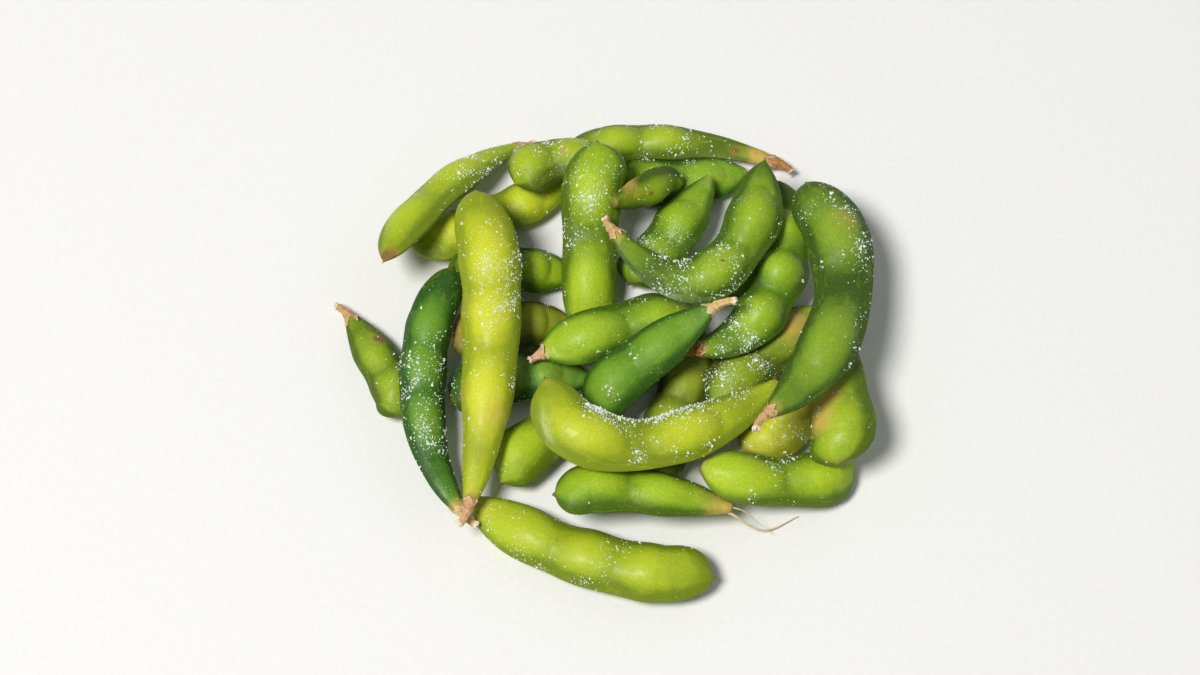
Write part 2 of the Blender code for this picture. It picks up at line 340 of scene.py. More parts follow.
line, spokes = rings_of("pod_30", AROUND_POD)
print("pod_30:", spokes.shape[:2], "points, widest", round(np.abs(spokes).max() / MM, 1), "mm")

# %% [markdown]
# ## Smooth curves through few points
# Seventeen rings of fourteen points are enough for a solid, but a highlight would show every
# facet. Two small tables of weights redraw them at any fineness: a natural cubic spline along the
# pod, and a sum of waves round it, which closes on itself. Both pass through the given points, so
# the pod keeps its size. The new points are closer together at the ends and beside the seams,
# where the shape turns quickly.

# %% Weights for smooth curves
def along_weights(knots, wanted):
    """Weights of a natural cubic spline through values at the knots, for each wanted place."""
    count, step = len(knots), np.diff(knots)
    bends, slopes = np.eye(count), np.zeros((count, count))
    for k in range(1, count - 1):
        bends[k, k - 1 : k + 2] = step[k - 1], 2 * (step[k - 1] + step[k]), step[k]
        slopes[k, k - 1 : k + 2] = 6 / step[k - 1], -6 / step[k - 1] - 6 / step[k], 6 / step[k]
    second = np.linalg.solve(bends, slopes)
    k = np.clip(np.searchsorted(knots, wanted) - 1, 0, count - 2)
    late = (wanted - knots[k]) / step[k]
    early = 1 - late
    weights = (step[k] ** 2 / 6)[:, None] * (
        (early**3 - early)[:, None] * second[k] + (late**3 - late)[:, None] * second[k + 1]
    )
    weights[np.arange(len(wanted)), k] += early
    weights[np.arange(len(wanted)), k + 1] += late
    return weights


def around_weights(count, wanted):
    """Weights of a sum of waves through count even points round a closed curve."""
    gap = wanted[:, None] - np.arange(count) / count
    on_point = np.isclose(gap, np.round(gap))
    safe = np.where(on_point, 0.5, gap)
    return np.where(on_point, 1.0, np.sin(count * math.pi * safe) / (count * np.tan(math.pi * safe)))


def crowded(count, waves, strength, closed):
    """Shares from 0 to 1 that crowd together at the ends of each wave."""
    share = np.linspace(0, 1, count, endpoint=not closed)
    turn = 2 * math.pi * waves
    return share - strength * np.sin(turn * share) / turn


STATIONS = 112  # along a finished pod
COLUMNS = 72  # round it
STATION_PLACES = crowded(STATIONS, waves=1, strength=0.45, closed=False)
COLUMN_PLACES = crowded(COLUMNS, waves=2, strength=0.72, closed=True)
print("closest columns", round(COLUMN_PLACES[1] * 360, 1), "degrees, widest",
      round((COLUMN_PLACES[COLUMNS // 4 + 1] - COLUMN_PLACES[COLUMNS // 4]) * 360, 1))

# %% [markdown]
# ## Where the seams and the beans are
# A pod is two half shells joined along its edges, so its seams run where it is widest. The beans
# sit where it is thickest. Both can be measured on the redrawn sections, which keeps them true to
# the solid, instead of being listed by hand for thirty pods.

# %% A pod's seams, sides and beans
def smoothstep(value, low=0.0, high=1.0):
    value = np.clip((value - low) / (high - low), 0, 1)
    return value * value * (3 - 2 * value)


MIDDLE_RINGS = slice(5, 12)  # of a solid, clear of its neck and tip
THICK_ENOUGH = 0.5  # a crest counts as a bean from this share of the pod's greatest thickness


def seam_first(line, spokes):
    """Spokes turned so that the first column is the seam on the outer side of the bend."""
    half = spokes.shape[1] // 2
    whole = spokes[MIDDLE_RINGS]
    widths = np.linalg.norm(whole[:, :half] - whole[:, half:], axis=2).mean(axis=0)
    spokes = np.roll(spokes, -int(np.argmax(widths)), axis=1)
    middle = len(line) // 2
    outward = line[middle] - (line[0] + line[-1]) / 2
    return spokes if spokes[middle, 0].dot(outward) > 0 else np.roll(spokes, half, axis=1)


class Pod:
    """A pod's fine sections, and what can be measured on them."""

    def __init__(self, name):
        self.name = name
        line, spokes = rings_of(name, AROUND_POD)
        spokes = seam_first(line, spokes)
        knots = np.concatenate([[0], np.cumsum(np.linalg.norm(np.diff(line, axis=0), axis=1))])
        self.length = knots[-1]
        self.share = STATION_PLACES
        along = along_weights(knots / self.length, self.share)
        around = around_weights(AROUND_POD, COLUMN_PLACES)
        self.line = along @ line
        self.spokes = np.einsum("sk,cj,kjx->scx", along, around, spokes)
        self.heading = unit(np.gradient(self.line, axis=0))
        seam = self.spokes[:, 0] - self.spokes[:, COLUMNS // 2]
        seam = seam - np.einsum("sx,sx->s", seam, self.heading)[:, None] * self.heading
        self.wide = unit(seam)
        self.thick = np.cross(self.heading, self.wide)
        self.half_width = np.abs(self.across()).max(axis=1)
        depth = self.through()
        self.half_depth = (depth.max(axis=1) - depth.min(axis=1)) / 2
        self.beans = self.bean_stations()

    def across(self):
        """How far each point lies towards a seam."""
        return np.einsum("scx,sx->sc", self.spokes, self.wide)

    def through(self):
        """How far each point lies towards a face of the pod."""
        return np.einsum("scx,sx->sc", self.spokes, self.thick)

    def bean_stations(self):
        """Stations at which the pod is thicker than on either side."""
        depth = self.half_depth
        crest = (depth[1:-1] >= depth[:-2]) & (depth[1:-1] > depth[2:])
        crest &= depth[1:-1] > THICK_ENOUGH * depth.max()
        return np.nonzero(crest)[0] + 1


pods = {name: Pod(name) for name in POD_NAMES}
for pod in list(pods.values())[-4:]:
    print(pod.name, round(pod.length / MM), "mm long, beans at", np.round(pod.share[pod.beans], 2))

# %% [markdown]
# ## The skin's shape
# A shell fits its beans closely: each bean makes a soft dome, and the skin sinks a little between
# two beans and beside the seams, where the seam itself is a fine raised cord. The solid only has
# the broad swellings along the pod. So each point is drawn in towards the pod's middle sheet where
# it is off the beans, the seams are raised, and a little noise keeps the faces from being too
# even. A plump pod has a thick shell that hides its beans: there the hollows between beans are
# filled instead. A thin one, with a plumpness below 0, sinks further and gets a waist between two
# beans. A blunt tip is rounded off, and can lean to one seam so that its beak sits at a corner.

# %% Beans, hollows and seams as masks
BEAN_ROUND = 0.84  # half the width of a bean, as a share of the pod's half width
BEAN_FIT = 0.50  # half the length of a bean, as a share of the distance to the next
LONGEST_BEAN = 7.5 * MM  # half the length of the longest bean
LONE_BEAN = 6.2 * MM  # half the length of a bean with no neighbour
BEAN_REACH = 2.0  # how far from a bean's middle it still counts, in half beans


def bean_mask(pod):
    """1 over the middle of a bean, 0.5 at its edge and 0 further off, as stations by columns."""
    places = pod.share[pod.beans] * pod.length
    fit = BEAN_FIT * np.diff(places).min() if len(places) > 1 else LONE_BEAN
    along = (pod.share * pod.length)[:, None] - places
    off = along[:, None, :] / min(fit, LONGEST_BEAN)
    side = (pod.across() / pod.half_width[:, None])[..., None] / BEAN_ROUND
    return np.clip(1 - np.sqrt(off**2 + side**2).min(axis=2) / BEAN_REACH, 0, 1)


def hollows(pod):
    """How much thinner each station is than the beans on either side of it, as a share."""
    crests = np.interp(pod.share, pod.share[pod.beans], pod.half_depth[pod.beans])
    between = (pod.share > pod.share[pod.beans[0]]) & (pod.share < pod.share[pod.beans[-1]])
    return np.where(between, 1 - pod.half_depth / crests, 0)


def seam_mask(pod, width):
    """1 on a seam, falling off within a width of it."""
    to_seams = [np.linalg.norm(pod.spokes - pod.spokes[:, [k]], axis=2) for k in (0, COLUMNS // 2)]
    return np.exp(-((np.minimum(*to_seams) / width) ** 2))


def noise_field(points, size, seed):
    """Soft noise from -1 to 1 with features of about this size."""
    offset = Vector((seed * 7.3, seed * 3.1, seed * 1.7))
    flat = points.reshape(-1, 3) / size
    values = [noise.noise(Vector(place) + offset) for place in flat.tolist()]
    return np.array(values).reshape(points.shape[:-1])


for pod in list(pods.values())[-4:]:
    print(pod.name, "is up to", round(hollows(pod).max() * 100), "% thinner between its beans")

# %% Rounded tips
ROUND_FROM, ROUND_POWER = 0.80, 2.7  # where a blunt tip starts to round off, and how squarely
NEAR_TIP, BLUNT_WIDTH = 0.955, 0.42  # a tip is blunt if it is still this wide there, as a share
BENT_TIPS = ("pod_03", "pod_05", "pod_20")  # they turn too sharply to be made any fuller
TIP_CLOSED = 0.985  # how nearly a rounded tip closes before its beak
LEANS = {  # pod: how far its blunt tip leans to one seam, as a share of the room that rounding leaves
    "pod_27": -0.40, "pod_13": 0.25, "pod_25": 0.30, "pod_18": -0.30, "pod_22": 0.20,
}


def round_tip(pod):
    """How much fuller each section is where a blunt tip is rounded off, and its shift to a seam."""
    start = int(np.argmin(abs(pod.share - ROUND_FROM)))
    before_end = int(np.argmin(abs(pod.share - NEAR_TIP)))
    slim = pod.half_width[before_end] < BLUNT_WIDTH * pod.half_width.max()
    if slim or pod.name in BENT_TIPS:
        return np.ones(STATIONS), np.zeros(STATIONS)
    reach = np.clip((pod.share - pod.share[start]) / (1 - pod.share[start]), 0, 1)
    wanted = pod.half_width[start] * np.sqrt(1 - TIP_CLOSED * reach**ROUND_POWER)
    fuller = np.where(reach > 0, np.maximum(wanted / pod.half_width, 1), 1.0)
    room = pod.half_width[start] - pod.half_width * fuller
    return fuller, np.where(reach > 0, room * LEANS.get(pod.name, 0), 0)


rounded = [pod.name for pod in pods.values() if round_tip(pod)[0].max() > 1]
print("rounded tips:", *rounded)

# %% The finished skin's points
BEAN_EDGE = 1.12  # where a dome ends, in half beans from its middle
EDGE_EASE = 0.20  # a higher value rounds off the foot of a dome
SINK = 0.36  # how far the skin sinks off the beans, as a share of its depth
FILL = 0.75  # how much of the hollows between beans a thick shell fills
WAIST = 0.9  # how much narrower a thin shell is between beans, against how much it sinks there
SEAM_HEIGHT, SEAM_WIDTH = 0.15 * MM, 0.36 * MM
SEAM_GROOVE = 0.45  # depth of the groove along the seam's crest, as a share of its height
DENT_SIZE, DENT_DEPTH = 7 * MM, 0.15 * MM
CREASE_SIZE, CREASE_DEPTH = 1.3 * MM, 0.035 * MM
CREASE_SEED = 40  # added to a pod's own seed, so that its creases and dents differ
NECK_EASE, TIP_EASE = 0.10, 0.16  # shares of the length over which domes, seams and dents fade in


def skin_points(pod, seed, plump=0.0):
    """The finished skin's points, and the bean mask used for them."""
    beans = bean_mask(pod)
    ends = smoothstep(pod.share, 0.0, NECK_EASE) * smoothstep(1 - pod.share, 0.0, TIP_EASE)
    cap = np.clip(1 - ((1 - beans) * BEAN_REACH / BEAN_EDGE) ** 2, 0, 1)
    dome = cap / np.sqrt(cap + EDGE_EASE)
    hollow = hollows(pod)
    drawn_in = 1 - SINK * (1 - plump) * (1 - dome) * ends[:, None]
    drawn_in *= (1 + FILL * plump * hollow / (1 - hollow))[:, None]
    through = pod.through()[..., None] * pod.thick[:, None]
    across = pod.across()[..., None] * pod.wide[:, None]
    waist = (WAIST * max(-plump, 0) * hollow)[:, None, None]
    fuller, shift = round_tip(pod)
    points = pod.spokes - through * (1 - drawn_in[..., None]) - across * waist
    points *= fuller[:, None, None]
    outward = unit(points)
    cord = seam_mask(pod, SEAM_WIDTH) - SEAM_GROOVE * seam_mask(pod, SEAM_WIDTH / 3)
    lift = SEAM_HEIGHT * cord * ends[:, None]
    points = pod.line[:, None] + points + (shift[:, None] * pod.wide)[:, None]
    lift += DENT_DEPTH * noise_field(points, DENT_SIZE, seed) * ends[:, None]
    lift += CREASE_DEPTH * noise_field(points, CREASE_SIZE, seed + CREASE_SEED) * ends[:, None]
    points = points + lift[..., None] * outward
    points[..., 2] = np.maximum(points[..., 2], 0)
    return points, beans


points, beans = skin_points(pods["pod_30"], seed=30)
print("pod_30 skin reaches", np.round(points.max(axis=(0, 1)) / MM, 1), "mm")

# %% [markdown]
# ## From points to a mesh
# A loft joins each ring to the next with four-sided faces and closes each end with a fan to one
# point. Going round a ring first and then along makes every face point outwards. Values that the
# material needs, such as how near a point is to a bean, are stored on the points as attributes, and
# a map in real metres lets a pattern follow the skin instead of the axes.

# %% Loft
def tube_faces(count, around):
    """The four-sided faces of a tube of rings, as rows of corners, and each one's ring and column."""
    ring, column = (grid.ravel() for grid in np.mgrid[0 : count - 1, 0:around])
    beside = (column + 1) % around
    near, far = ring * around, (ring + 1) * around
    return np.stack([near + column, near + beside, far + beside, far + column], axis=1), ring, column


def loft(name, rings, first_point, last_point, attributes, lengths):
    """A closed mesh object through rings of points, with attributes per point and a map."""
    count, around = rings.shape[:2]
    quads, ring, column = tube_faces(count, around)
    start, end = count * around, count * around + 1
    k = np.arange(around)
    turned = (k + 1) % around
    first_fan = np.stack([np.full(around, start), turned, k], axis=1)
    last_fan = np.stack([np.full(around, end), start - around + k, start - around + turned], axis=1)
    mesh = bpy.data.meshes.new(name)
    vertices = np.vstack([rings.reshape(-1, 3), first_point, last_point])
    mesh.from_pydata(vertices.tolist(), [], quads.tolist() + first_fan.tolist() + last_fan.tolist())
    mesh.shade_smooth()
    for key, values in attributes.items():
        ends = [values[0].mean(), values[-1].mean()]
        layer = mesh.attributes.new(key, "FLOAT", "POINT")
        layer.data.foreach_set("value", np.concatenate([values.ravel(), ends]).astype(np.float32))
    step = np.linalg.norm(np.roll(rings, -1, axis=1) - rings, axis=2).mean(axis=0)
    round_it = np.concatenate([[0], np.cumsum(step)])
    along = np.stack([lengths[ring]] * 2 + [lengths[ring + 1]] * 2, axis=1)
    across = np.stack([round_it[column + k] for k in (0, 1, 1, 0)], axis=1)
    quad_map = np.stack([along, across], axis=2).reshape(-1, 2)
    fan_map = [
        np.stack([np.full(3 * around, lengths[row]), np.repeat(round_it[k], 3)], axis=1)
        for row in (0, -1)
    ]
    uv = mesh.uv_layers.new(name="skin")
    uv.data.foreach_set("uv", np.vstack([quad_map, *fan_map]).ravel().astype(np.float32))
    obj = bpy.data.objects.new(name, mesh)
    scene.collection.objects.link(obj)
    return obj


# %% [markdown]
# ## Ripeness, plumpness and marks
# Boiled pods differ: some are bright yellow-green, some deep green, some olive, and many have a
# tan mark where they rubbed against another, or a dark one where the skin was bitten. Each pod gets
# a ripeness from 0, deep green, to 1, yellow; a share of olive; how strongly its beans show in
# colour; and how plump its shell is, from -1 to 1. Marks could be painted on an image, but then
# they would belong to one mesh. Here each is placed by how far along the pod it lies and which way
# it faces, so it stays on the skin whatever the pod's size.

# %% Table of skins and marks
SKINS = {  # pod: ripeness, olive, contrast of the beans, plumpness
    "pod_01": (0.52, 0.22, 0.45, 0.4), "pod_02": (0.84, 0.00, 1.00, -0.3),
    "pod_03": (0.52, 0.00, 0.95, 0.0), "pod_04": (0.12, 0.10, 0.60, 0.2),
    "pod_05": (0.66, 0.00, 0.80, 0.6), "pod_06": (0.35, 0.50, 0.60, 0.0),
    "pod_07": (0.40, 0.35, 0.50, 0.0), "pod_08": (0.88, 0.35, 0.85, 0.2),
    "pod_09": (0.30, 0.00, 0.70, 0.0), "pod_10": (0.25, 0.00, 0.60, 0.0),
    "pod_11": (0.30, 0.00, 0.70, 0.0), "pod_12": (0.60, 0.12, 0.75, -0.2),
    "pod_13": (0.76, 0.00, 0.60, 0.6), "pod_14": (0.14, 0.00, 0.40, 0.6),
    "pod_15": (0.74, 0.00, 0.75, 0.3), "pod_16": (0.48, 0.60, 0.50, 0.2),
    "pod_17": (0.52, 0.00, 0.90, 0.2), "pod_18": (0.58, 0.02, 0.95, -0.2),
    "pod_19": (0.42, 0.06, 0.65, -0.4), "pod_20": (0.58, 0.18, 0.65, 0.2),
    "pod_21": (0.56, 0.14, 0.65, 0.4), "pod_22": (0.56, 0.03, 0.90, -0.1),
    "pod_23": (0.50, 0.18, 0.60, 0.0), "pod_24": (0.42, 0.04, 0.75, -0.9),
    "pod_25": (0.42, 0.04, 0.90, -0.3), "pod_26": (0.22, 0.00, 0.45, 0.2),
    # pod_29's low ripeness is partly its own deep green and partly painted shade over the whole pod
    "pod_27": (0.85, 0.00, 0.85, -0.5), "pod_28": (0.42, 0.12, 0.70, -1.0),
    "pod_29": (0.27, 0.18, 0.55, -0.3), "pod_30": (0.98, 0.00, 0.90, 0.6),
}
UP = (0, 0, 1)
TAN_COLUMN, DARK_COLUMN = 3, 4  # of a mark
MARKS = {  # pod: (share of the length, the way it faces, radius in mm, tan, dark)
    "pod_01": ((0.34, (0.4, 0.5, 1), 1.9, 0.8, 0.8),),
    "pod_04": ((0.80, UP, 4.0, 0.40, 0),),
    "pod_07": ((0.25, (0.2, 0.4, 1), 5.5, 0.95, 0), (0.55, UP, 5.0, 0.25, 0)),
    "pod_08": ((0.60, UP, 6.0, 0.35, 0), (0.80, (0.3, -0.3, 1), 1.6, 0.5, 0.4)),
    "pod_12": ((0.10, UP, 2.6, 0.95, 0.3), (0.03, UP, 3.5, 0.9, 0.5), (0.20, UP, 1.6, 0.5, 0.6)),
    "pod_13": ((0.06, UP, 3.0, 0.4, 0),),
    "pod_14": ((0.02, UP, 2.6, 0.7, 0),),
    "pod_15": ((0.99, UP, 3.2, 0.9, 0.9), (0.30, UP, 4.0, 0.15, 0)),
    "pod_16": ((0.86, UP, 6.5, 0.65, 0), (0.78, (-0.3, 0.4, 1), 1.6, 0.6, 0.6)),
    "pod_17": ((0.02, UP, 6.5, 0.75, 0),),
    "pod_20": ((0.42, (0.5, 0.2, 1), 1.4, 0.7, 0.5), (0.60, UP, 6.0, 0.20, 0)),
    "pod_21": ((0.30, (-0.7, 0, 1), 4.6, 1.2, 0.1), (0.50, (-0.9, 0, 1), 4.2, 1.2, 0.1),
               (0.68, (-1.1, 0, 1), 3.6, 1.0, 0.1)),
    "pod_23": ((0.20, (0, -0.6, 1), 2.4, 0.8, 0.2), (0.42, (0.1, -1, 0.8), 1.0, 0.5, 0.7)),
    "pod_24": ((0.02, UP, 2.0, 0.8, 0.5),),
    "pod_25": ((0.02, UP, 1.8, 0.5, 0.1),),
    "pod_27": ((0.99, UP, 1.6, 0.5, 0.2),),
    "pod_28": ((0.02, UP, 2.4, 0.7, 0.1), (0.50, (-0.2, -0.3, 1), 0.5, 0.2, 1.0)),
    "pod_29": ((0.94, (0.2, 0.6, 1), 3.0, 0.25, 0.1), (0.03, UP, 2.0, 0.5, 0),
               (0.80, (0.5, 0, 1), 5.0, 0.42, 0)),
    "pod_30": ((0.27, (0.3, -0.2, 1), 4.8, 0.50, 0.1), (0.33, (-1, 0, 0.3), 4.0, 0.35, 0),
               (0.60, (-1, 0, 0.4), 5.0, 0.30, 0), (0.02, UP, 2.2, 0.7, 0.5)),
}


def spot(pod, skin, places, share, facing, radius):
    """1 at the place on a pod's skin that faces a way, falling off over a radius in mm."""
    station = int(np.argmin(abs(pod.share - share)))
    spoke = int(np.argmax(pod.spokes[station] @ unit(np.array(facing, float))))
    gap = np.linalg.norm(places - skin[station, spoke], axis=-1) / (radius * MM)
    return np.exp(-(gap**2))


def marked(pod, points, column):
    """How marked each point is, from 0 to 1, by the tan or the dark column of the table."""
    found = np.zeros(points.shape[:2])
    for mark in MARKS.get(pod.name, ()):
        found = np.maximum(found, mark[column] * spot(pod, points, points, *mark[:3]))
    return found


# %% [markdown]
# ## Pod skin
# Moist green skin is clear near its surface, so a bean's crown, where the skin is stretched thin
# over it, looks pale yellow-green, the skin beside it mid green, and the folds deep green. Its
# colour is mixed in that order by how near a bean is, broken up by noise so that no edge looks
# drawn. The deep green is partly the skin's own and partly painted shade: it stands in for the
# shade in the hollows between beans, and a painted shade darkens each face where it turns down
# to its seam. Fine veins run slantwise from the seams, pale pores pepper the whole skin, and marks
# turn it tan or brown. The gloss comes from a thin film of water: a coat that is there in patches,
# over a base that is rougher where it has dried.

# %% Skin colours
CROWN = ((0.23, 0.42, 0.040), (0.42, 0.61, 0.022), (0.69, 0.72, 0.034))  # ripeness 0, 0.5 and 1
FLANK = ((0.060, 0.22, 0.022), (0.180, 0.335, 0.009), (0.46, 0.52, 0.015))
# deep fold green: partly the skin's own colour, partly painted shade for the hollows between beans
# and the sides
FOLD_AND_SHADE = ((0.012, 0.075, 0.008), (0.058, 0.130, 0.003), (0.27, 0.34, 0.010))
OLIVE = (0.34, 0.28, 0.03)
TAN = (0.66, 0.44, 0.10)
BARK_BROWN = (0.16, 0.06, 0.018)
END_BROWN = (0.34, 0.24, 0.05)


def ripened(colours, ripeness, olive=0.0):
    """A colour between the three given ones, drawn towards olive."""
    colours = np.array(colours)
    plain = np.array([np.interp(ripeness, (0, 0.5, 1), colours[:, k]) for k in range(3)])
    return (*(plain * (1 - olive) + plain.mean() * np.array(OLIVE) / np.mean(OLIVE) * olive), 1)


print("a half ripe bean's crown is", np.round(ripened(CROWN, 0.5)[:3], 2))

# %% Pod skin material
COAT_ROUGHNESS, COAT_IOR = 0.20, 1.33  # of the film of water
GLOW_RADIUS = (0.7, 1.0, 0.25)  # how far red, green and blue light spread inside the skin
CLOUD, MOTTLE, SPECK, PORE = 150, 560, 2400, 1500  # repeats a metre, from broad to fine
VEINS = (240, 900)  # repeats a metre along the pod and round it
UNEVEN_CLOUD, UNEVEN_MOTTLE = 0.36, 0.22  # how far the noise moves the edges of the colours
# the last value is painted shade: it is taken off toward the seams, so the sides darken where each
# face turns away
NECK_LIFT, TIP_LIFT, RIM_PAINTED_SHADE = 0.52, 0.20, 0.36  # added to the bean's own nearness, or taken off
FLANK_EDGE, CROWN_EDGE = (0.18, 0.58), (0.42, 0.88)  # nearness at which each colour comes in
FAINT = 0.16  # share of the pale colour in veins and pores
SEAM_SHADE, SEAM_OLIVE = 0.55, 0.45
DRIED, RUBBED = 0.85, 0.80  # share of tan and of brown where a mark is strongest
TIP_BROWN, NECK_BROWN = 0.22, 0.5
SKIN_RELIEF = 0.26 * MM
BASE_ROUGHNESS, SMOOTHED_BY_WATER = 0.56, 0.10
MOST_WATER, LEAST_WATER = 0.14, 0.01  # weight of the coat
RIM_FROM = 0.50  # where a face starts to turn down to its seam, as a share of its half width


def pod_finish(name, ripeness, olive, contrast):
    """Moist pod skin."""
    finish = Finish(name, Subsurface_Weight=0.12, Subsurface_Scale=1.6 * MM, IOR=1.35)
    finish.feed(finish.shader, {
        "Subsurface Radius": GLOW_RADIUS, "Coat Roughness": COAT_ROUGHNESS, "Coat IOR": COAT_IOR})
    bean, seam, rim, share, tan, dark = (
        finish.attribute(key) for key in ("bean", "seam", "rim", "share", "tan", "dark"))
    cloud = finish.grain(CLOUD, detail=3.0)
    mottle = finish.grain(MOTTLE, detail=4.0, roughness=0.6)
    speck = finish.grain(SPECK, detail=2.0)
    pores = finish.cells(PORE)
    veins = finish.grain(1.0, detail=3.0, place=finish.skin_place(VEINS), distortion=1.0)

    uneven = (cloud - 0.5) * UNEVEN_CLOUD + (mottle - 0.5) * UNEVEN_MOTTLE
    slender = 1 - finish.between(share, 0.04, 0.42)
    blunt = finish.between(share, 0.78, 0.98)
    # painted shade: rim takes nearness off toward the seams, so the sides of each face darken toward
    # the fold green
    near = bean + uneven + slender * NECK_LIFT + blunt * TIP_LIFT - rim * RIM_PAINTED_SHADE
    # painted shade: where nearness is low the colour goes to the deep fold green, which stands in
    # partly for shade in the hollows
    flank = finish.between(near, *FLANK_EDGE)
    crown = finish.between(near, *CROWN_EDGE)
    colour = finish.mixed(flank, ripened(FOLD_AND_SHADE, ripeness, olive), ripened(FLANK, ripeness, olive))
    colour = finish.mixed(crown * contrast, colour, ripened(CROWN, ripeness, olive * 0.6))
    vein_line = finish.between(veins, 0.55, 0.70)
    colour = finish.mixed(vein_line * FAINT, colour, ripened(CROWN, min(ripeness + 0.2, 1)))
    pore = 1 - finish.between(pores, 0.05, 0.32)
    colour = finish.mixed(pore * FAINT, colour, ripened(CROWN, min(ripeness + 0.25, 1)))
    shade = finish.between(speck, 0.35, 0.65, 0.20, 0.0)
    colour = finish.mixed(shade, colour, ripened(FOLD_AND_SHADE, ripeness, olive))
    colour = finish.mixed(seam * SEAM_SHADE, colour, ripened(FOLD_AND_SHADE, ripeness, SEAM_OLIVE))
    tip = finish.between(share, 0.975, 1.0)
    neck = 1 - finish.between(share, 0.0, 0.04)
    dried = finish.between(tan + (mottle - 0.5) * 0.4 + (cloud - 0.5) * 0.4, 0.10, 0.95)
    colour = finish.mixed(dried * DRIED, colour, (*TAN, 1))
    rubbed = finish.between(dark + (mottle - 0.5) * 0.8, 0.25, 0.75)
    colour = finish.mixed(rubbed * RUBBED, colour, (*BARK_BROWN, 1))
    colour = finish.mixed(tip * TIP_BROWN + neck * NECK_BROWN, colour, (*END_BROWN, 1))

    damp = finish.between(cloud + (mottle - 0.5) * 0.8, 0.38, 0.64)
    height = veins * 0.25 + mottle * 0.45 + speck * 0.12 + (1 - pores) * 0.12
    finish.raised(height, SKIN_RELIEF)
    rough = BASE_ROUGHNESS - damp * SMOOTHED_BY_WATER + dried * 0.12 + (speck - 0.5) * 0.12
    water = damp * MOST_WATER + LEAST_WATER
    return finish.paint(Base_Color=colour, Roughness=rough, Coat_Weight=water)


# %% Make the skins
# this is also where the painted shade on a face's side begins
RIM_FROM = 0.50  # where a face starts to turn down to its seam, as a share of its half width
BEAK_LENGTH, NECK_CROWN = 0.8 * MM, 0.25 * MM  # how far each closed end stands out


def skin_of(name, seed):
    """The finished skin of one pod."""
    pod = pods[name]
    ripeness, olive, contrast, plump = SKINS[name]
    points, beans = skin_points(pod, seed, plump)
    beak = points[-1].mean(axis=0) + pod.heading[-1] * BEAK_LENGTH
    neck = points[0].mean(axis=0) - pod.heading[0] * NECK_CROWN
    attributes = {
        "bean": beans,
        "seam": seam_mask(pod, SEAM_WIDTH * 0.8),
        # rim drives the painted shade on the pod's sides, toward its seams
        "rim": smoothstep(abs(pod.across()) / pod.half_width[:, None], RIM_FROM, 1.0),
        "share": np.repeat(pod.share[:, None], COLUMNS, axis=1),
        "tan": marked(pod, points, TAN_COLUMN),
        "dark": marked(pod, points, DARK_COLUMN),
    }
    title = "skin_" + name[4:]
    skin = loft(title, points, neck, beak, attributes, pod.share * pod.length)
    skin.data.materials.append(pod_finish(title, ripeness, olive, contrast))
    pod.points = points
    return skin


skins = {name: skin_of(name, seed) for seed, name in enumerate(POD_NAMES)}
for name, skin in skins.items():
    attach(skin, "root")
    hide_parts(name)
print(len(skins), "skins,", sum(len(skin.data.polygons) for skin in skins.values()), "faces")

# %% [markdown]
# ## Dried calyx
# Where a pod was pulled off its plant, a brown papery cup of five pointed sepals still clasps the
# neck. Modelling five leaves and placing them by hand would take fifty placements for ten pods.
# Instead the cup is one loft of closed rings, whose rim reaches further along the neck wherever a
# sepal is. Each ring takes its size from the pod's own skin, so the cup fits its neck. The loft
# goes out along the top of the sepals, over the rim and back underneath, which makes it thin and
# closed. Every sepal gets its own length and lift from the seed, and some are torn short.

# %% Lines and frames for stubs
LINE_INTO_POD = slice(2, 40, 2)  # stations of the pod that the cup's line follows


def joined_line(name):
    """The line from the stalk's end, through the neck, into the pod, and distances along it."""
    stalk = rings_of(name.replace("pod", "stem"), AROUND_STEM)[0]
    pod = pods[name]
    line = np.vstack([stalk[::-1], pod.line[LINE_INTO_POD]])
    walked = np.concatenate([[0], np.cumsum(np.linalg.norm(np.diff(line, axis=0), axis=1))])
    return line, walked - walked[len(stalk)]


def level_frame(line):
    """Unit vectors along a line, across it and level, and across it and upwards."""
    heading = unit(np.gradient(line, axis=0))
    level = unit(np.cross(heading, (0, 0, 1.0)))
    return heading, level, np.cross(level, heading)


def at_distance(walked, values, wanted):
    """Rows of values at distances along a line."""
    return np.stack([np.interp(wanted, walked, values[:, k]) for k in range(values.shape[1])], axis=1)


def section(centre, level, upward, angle, reach):
    """Rings about centres, at angles from level towards upward."""
    sideways, up = (wave(angle)[..., None] * reach[..., None] for wave in (np.cos, np.sin))
    return centre + sideways * level + up * upward


def neck_radius(pod, distance, level, upward, angle):
    """How far the pod's skin is from its centre line at a distance from the neck's end."""
    ring = pod.points[int(np.argmin(abs(pod.share * pod.length - max(distance, 0))))]
    spokes = ring - ring.mean(axis=0)
    turned = np.arctan2(spokes @ upward, spokes @ level)
    order = np.argsort(turned)
    reach = np.linalg.norm(spokes, axis=1)[order]
    return np.interp(angle, turned[order], reach, period=2 * math.pi)


line, walked = joined_line("pod_26")
print("pod_26's line starts", round(-walked[0] / MM, 1), "mm out on its stalk")

# %% Calyx shape
SEPALS = 5
CUP_COLUMNS = 80
CUP_OUTER, CUP_INNER = 26, 8  # rings over the top of the cup and under it
CUP_START = -1.1 * MM  # along the neck, where minus is on the stalk
CUP_THICKNESS = 0.13 * MM
SEPAL_BASE = 0.25 * MM  # how far the cup reaches between two sepals
SEPAL_SHARES = (0.45, 1.25)  # shortest and longest sepal, of the length given
SEPAL_TWIST, SEPAL_POINT = 0.15, 0.85  # how unevenly sepals stand, and how pointed they are
MOST_LIFT = 0.45 * MM  # of a sepal's end off the neck
SKIN_GAP = 0.16 * MM  # between the neck and the top of the cup
SHOULDER = (  # distance along the neck and least radius, in mm
    (-1.1, 0.80), (-0.6, 1.20), (-0.1, 1.40), (0.5, 1.25),
)
RUFFLE_SIZE, RUFFLE_DEPTH = 0.7 * MM, 0.12 * MM


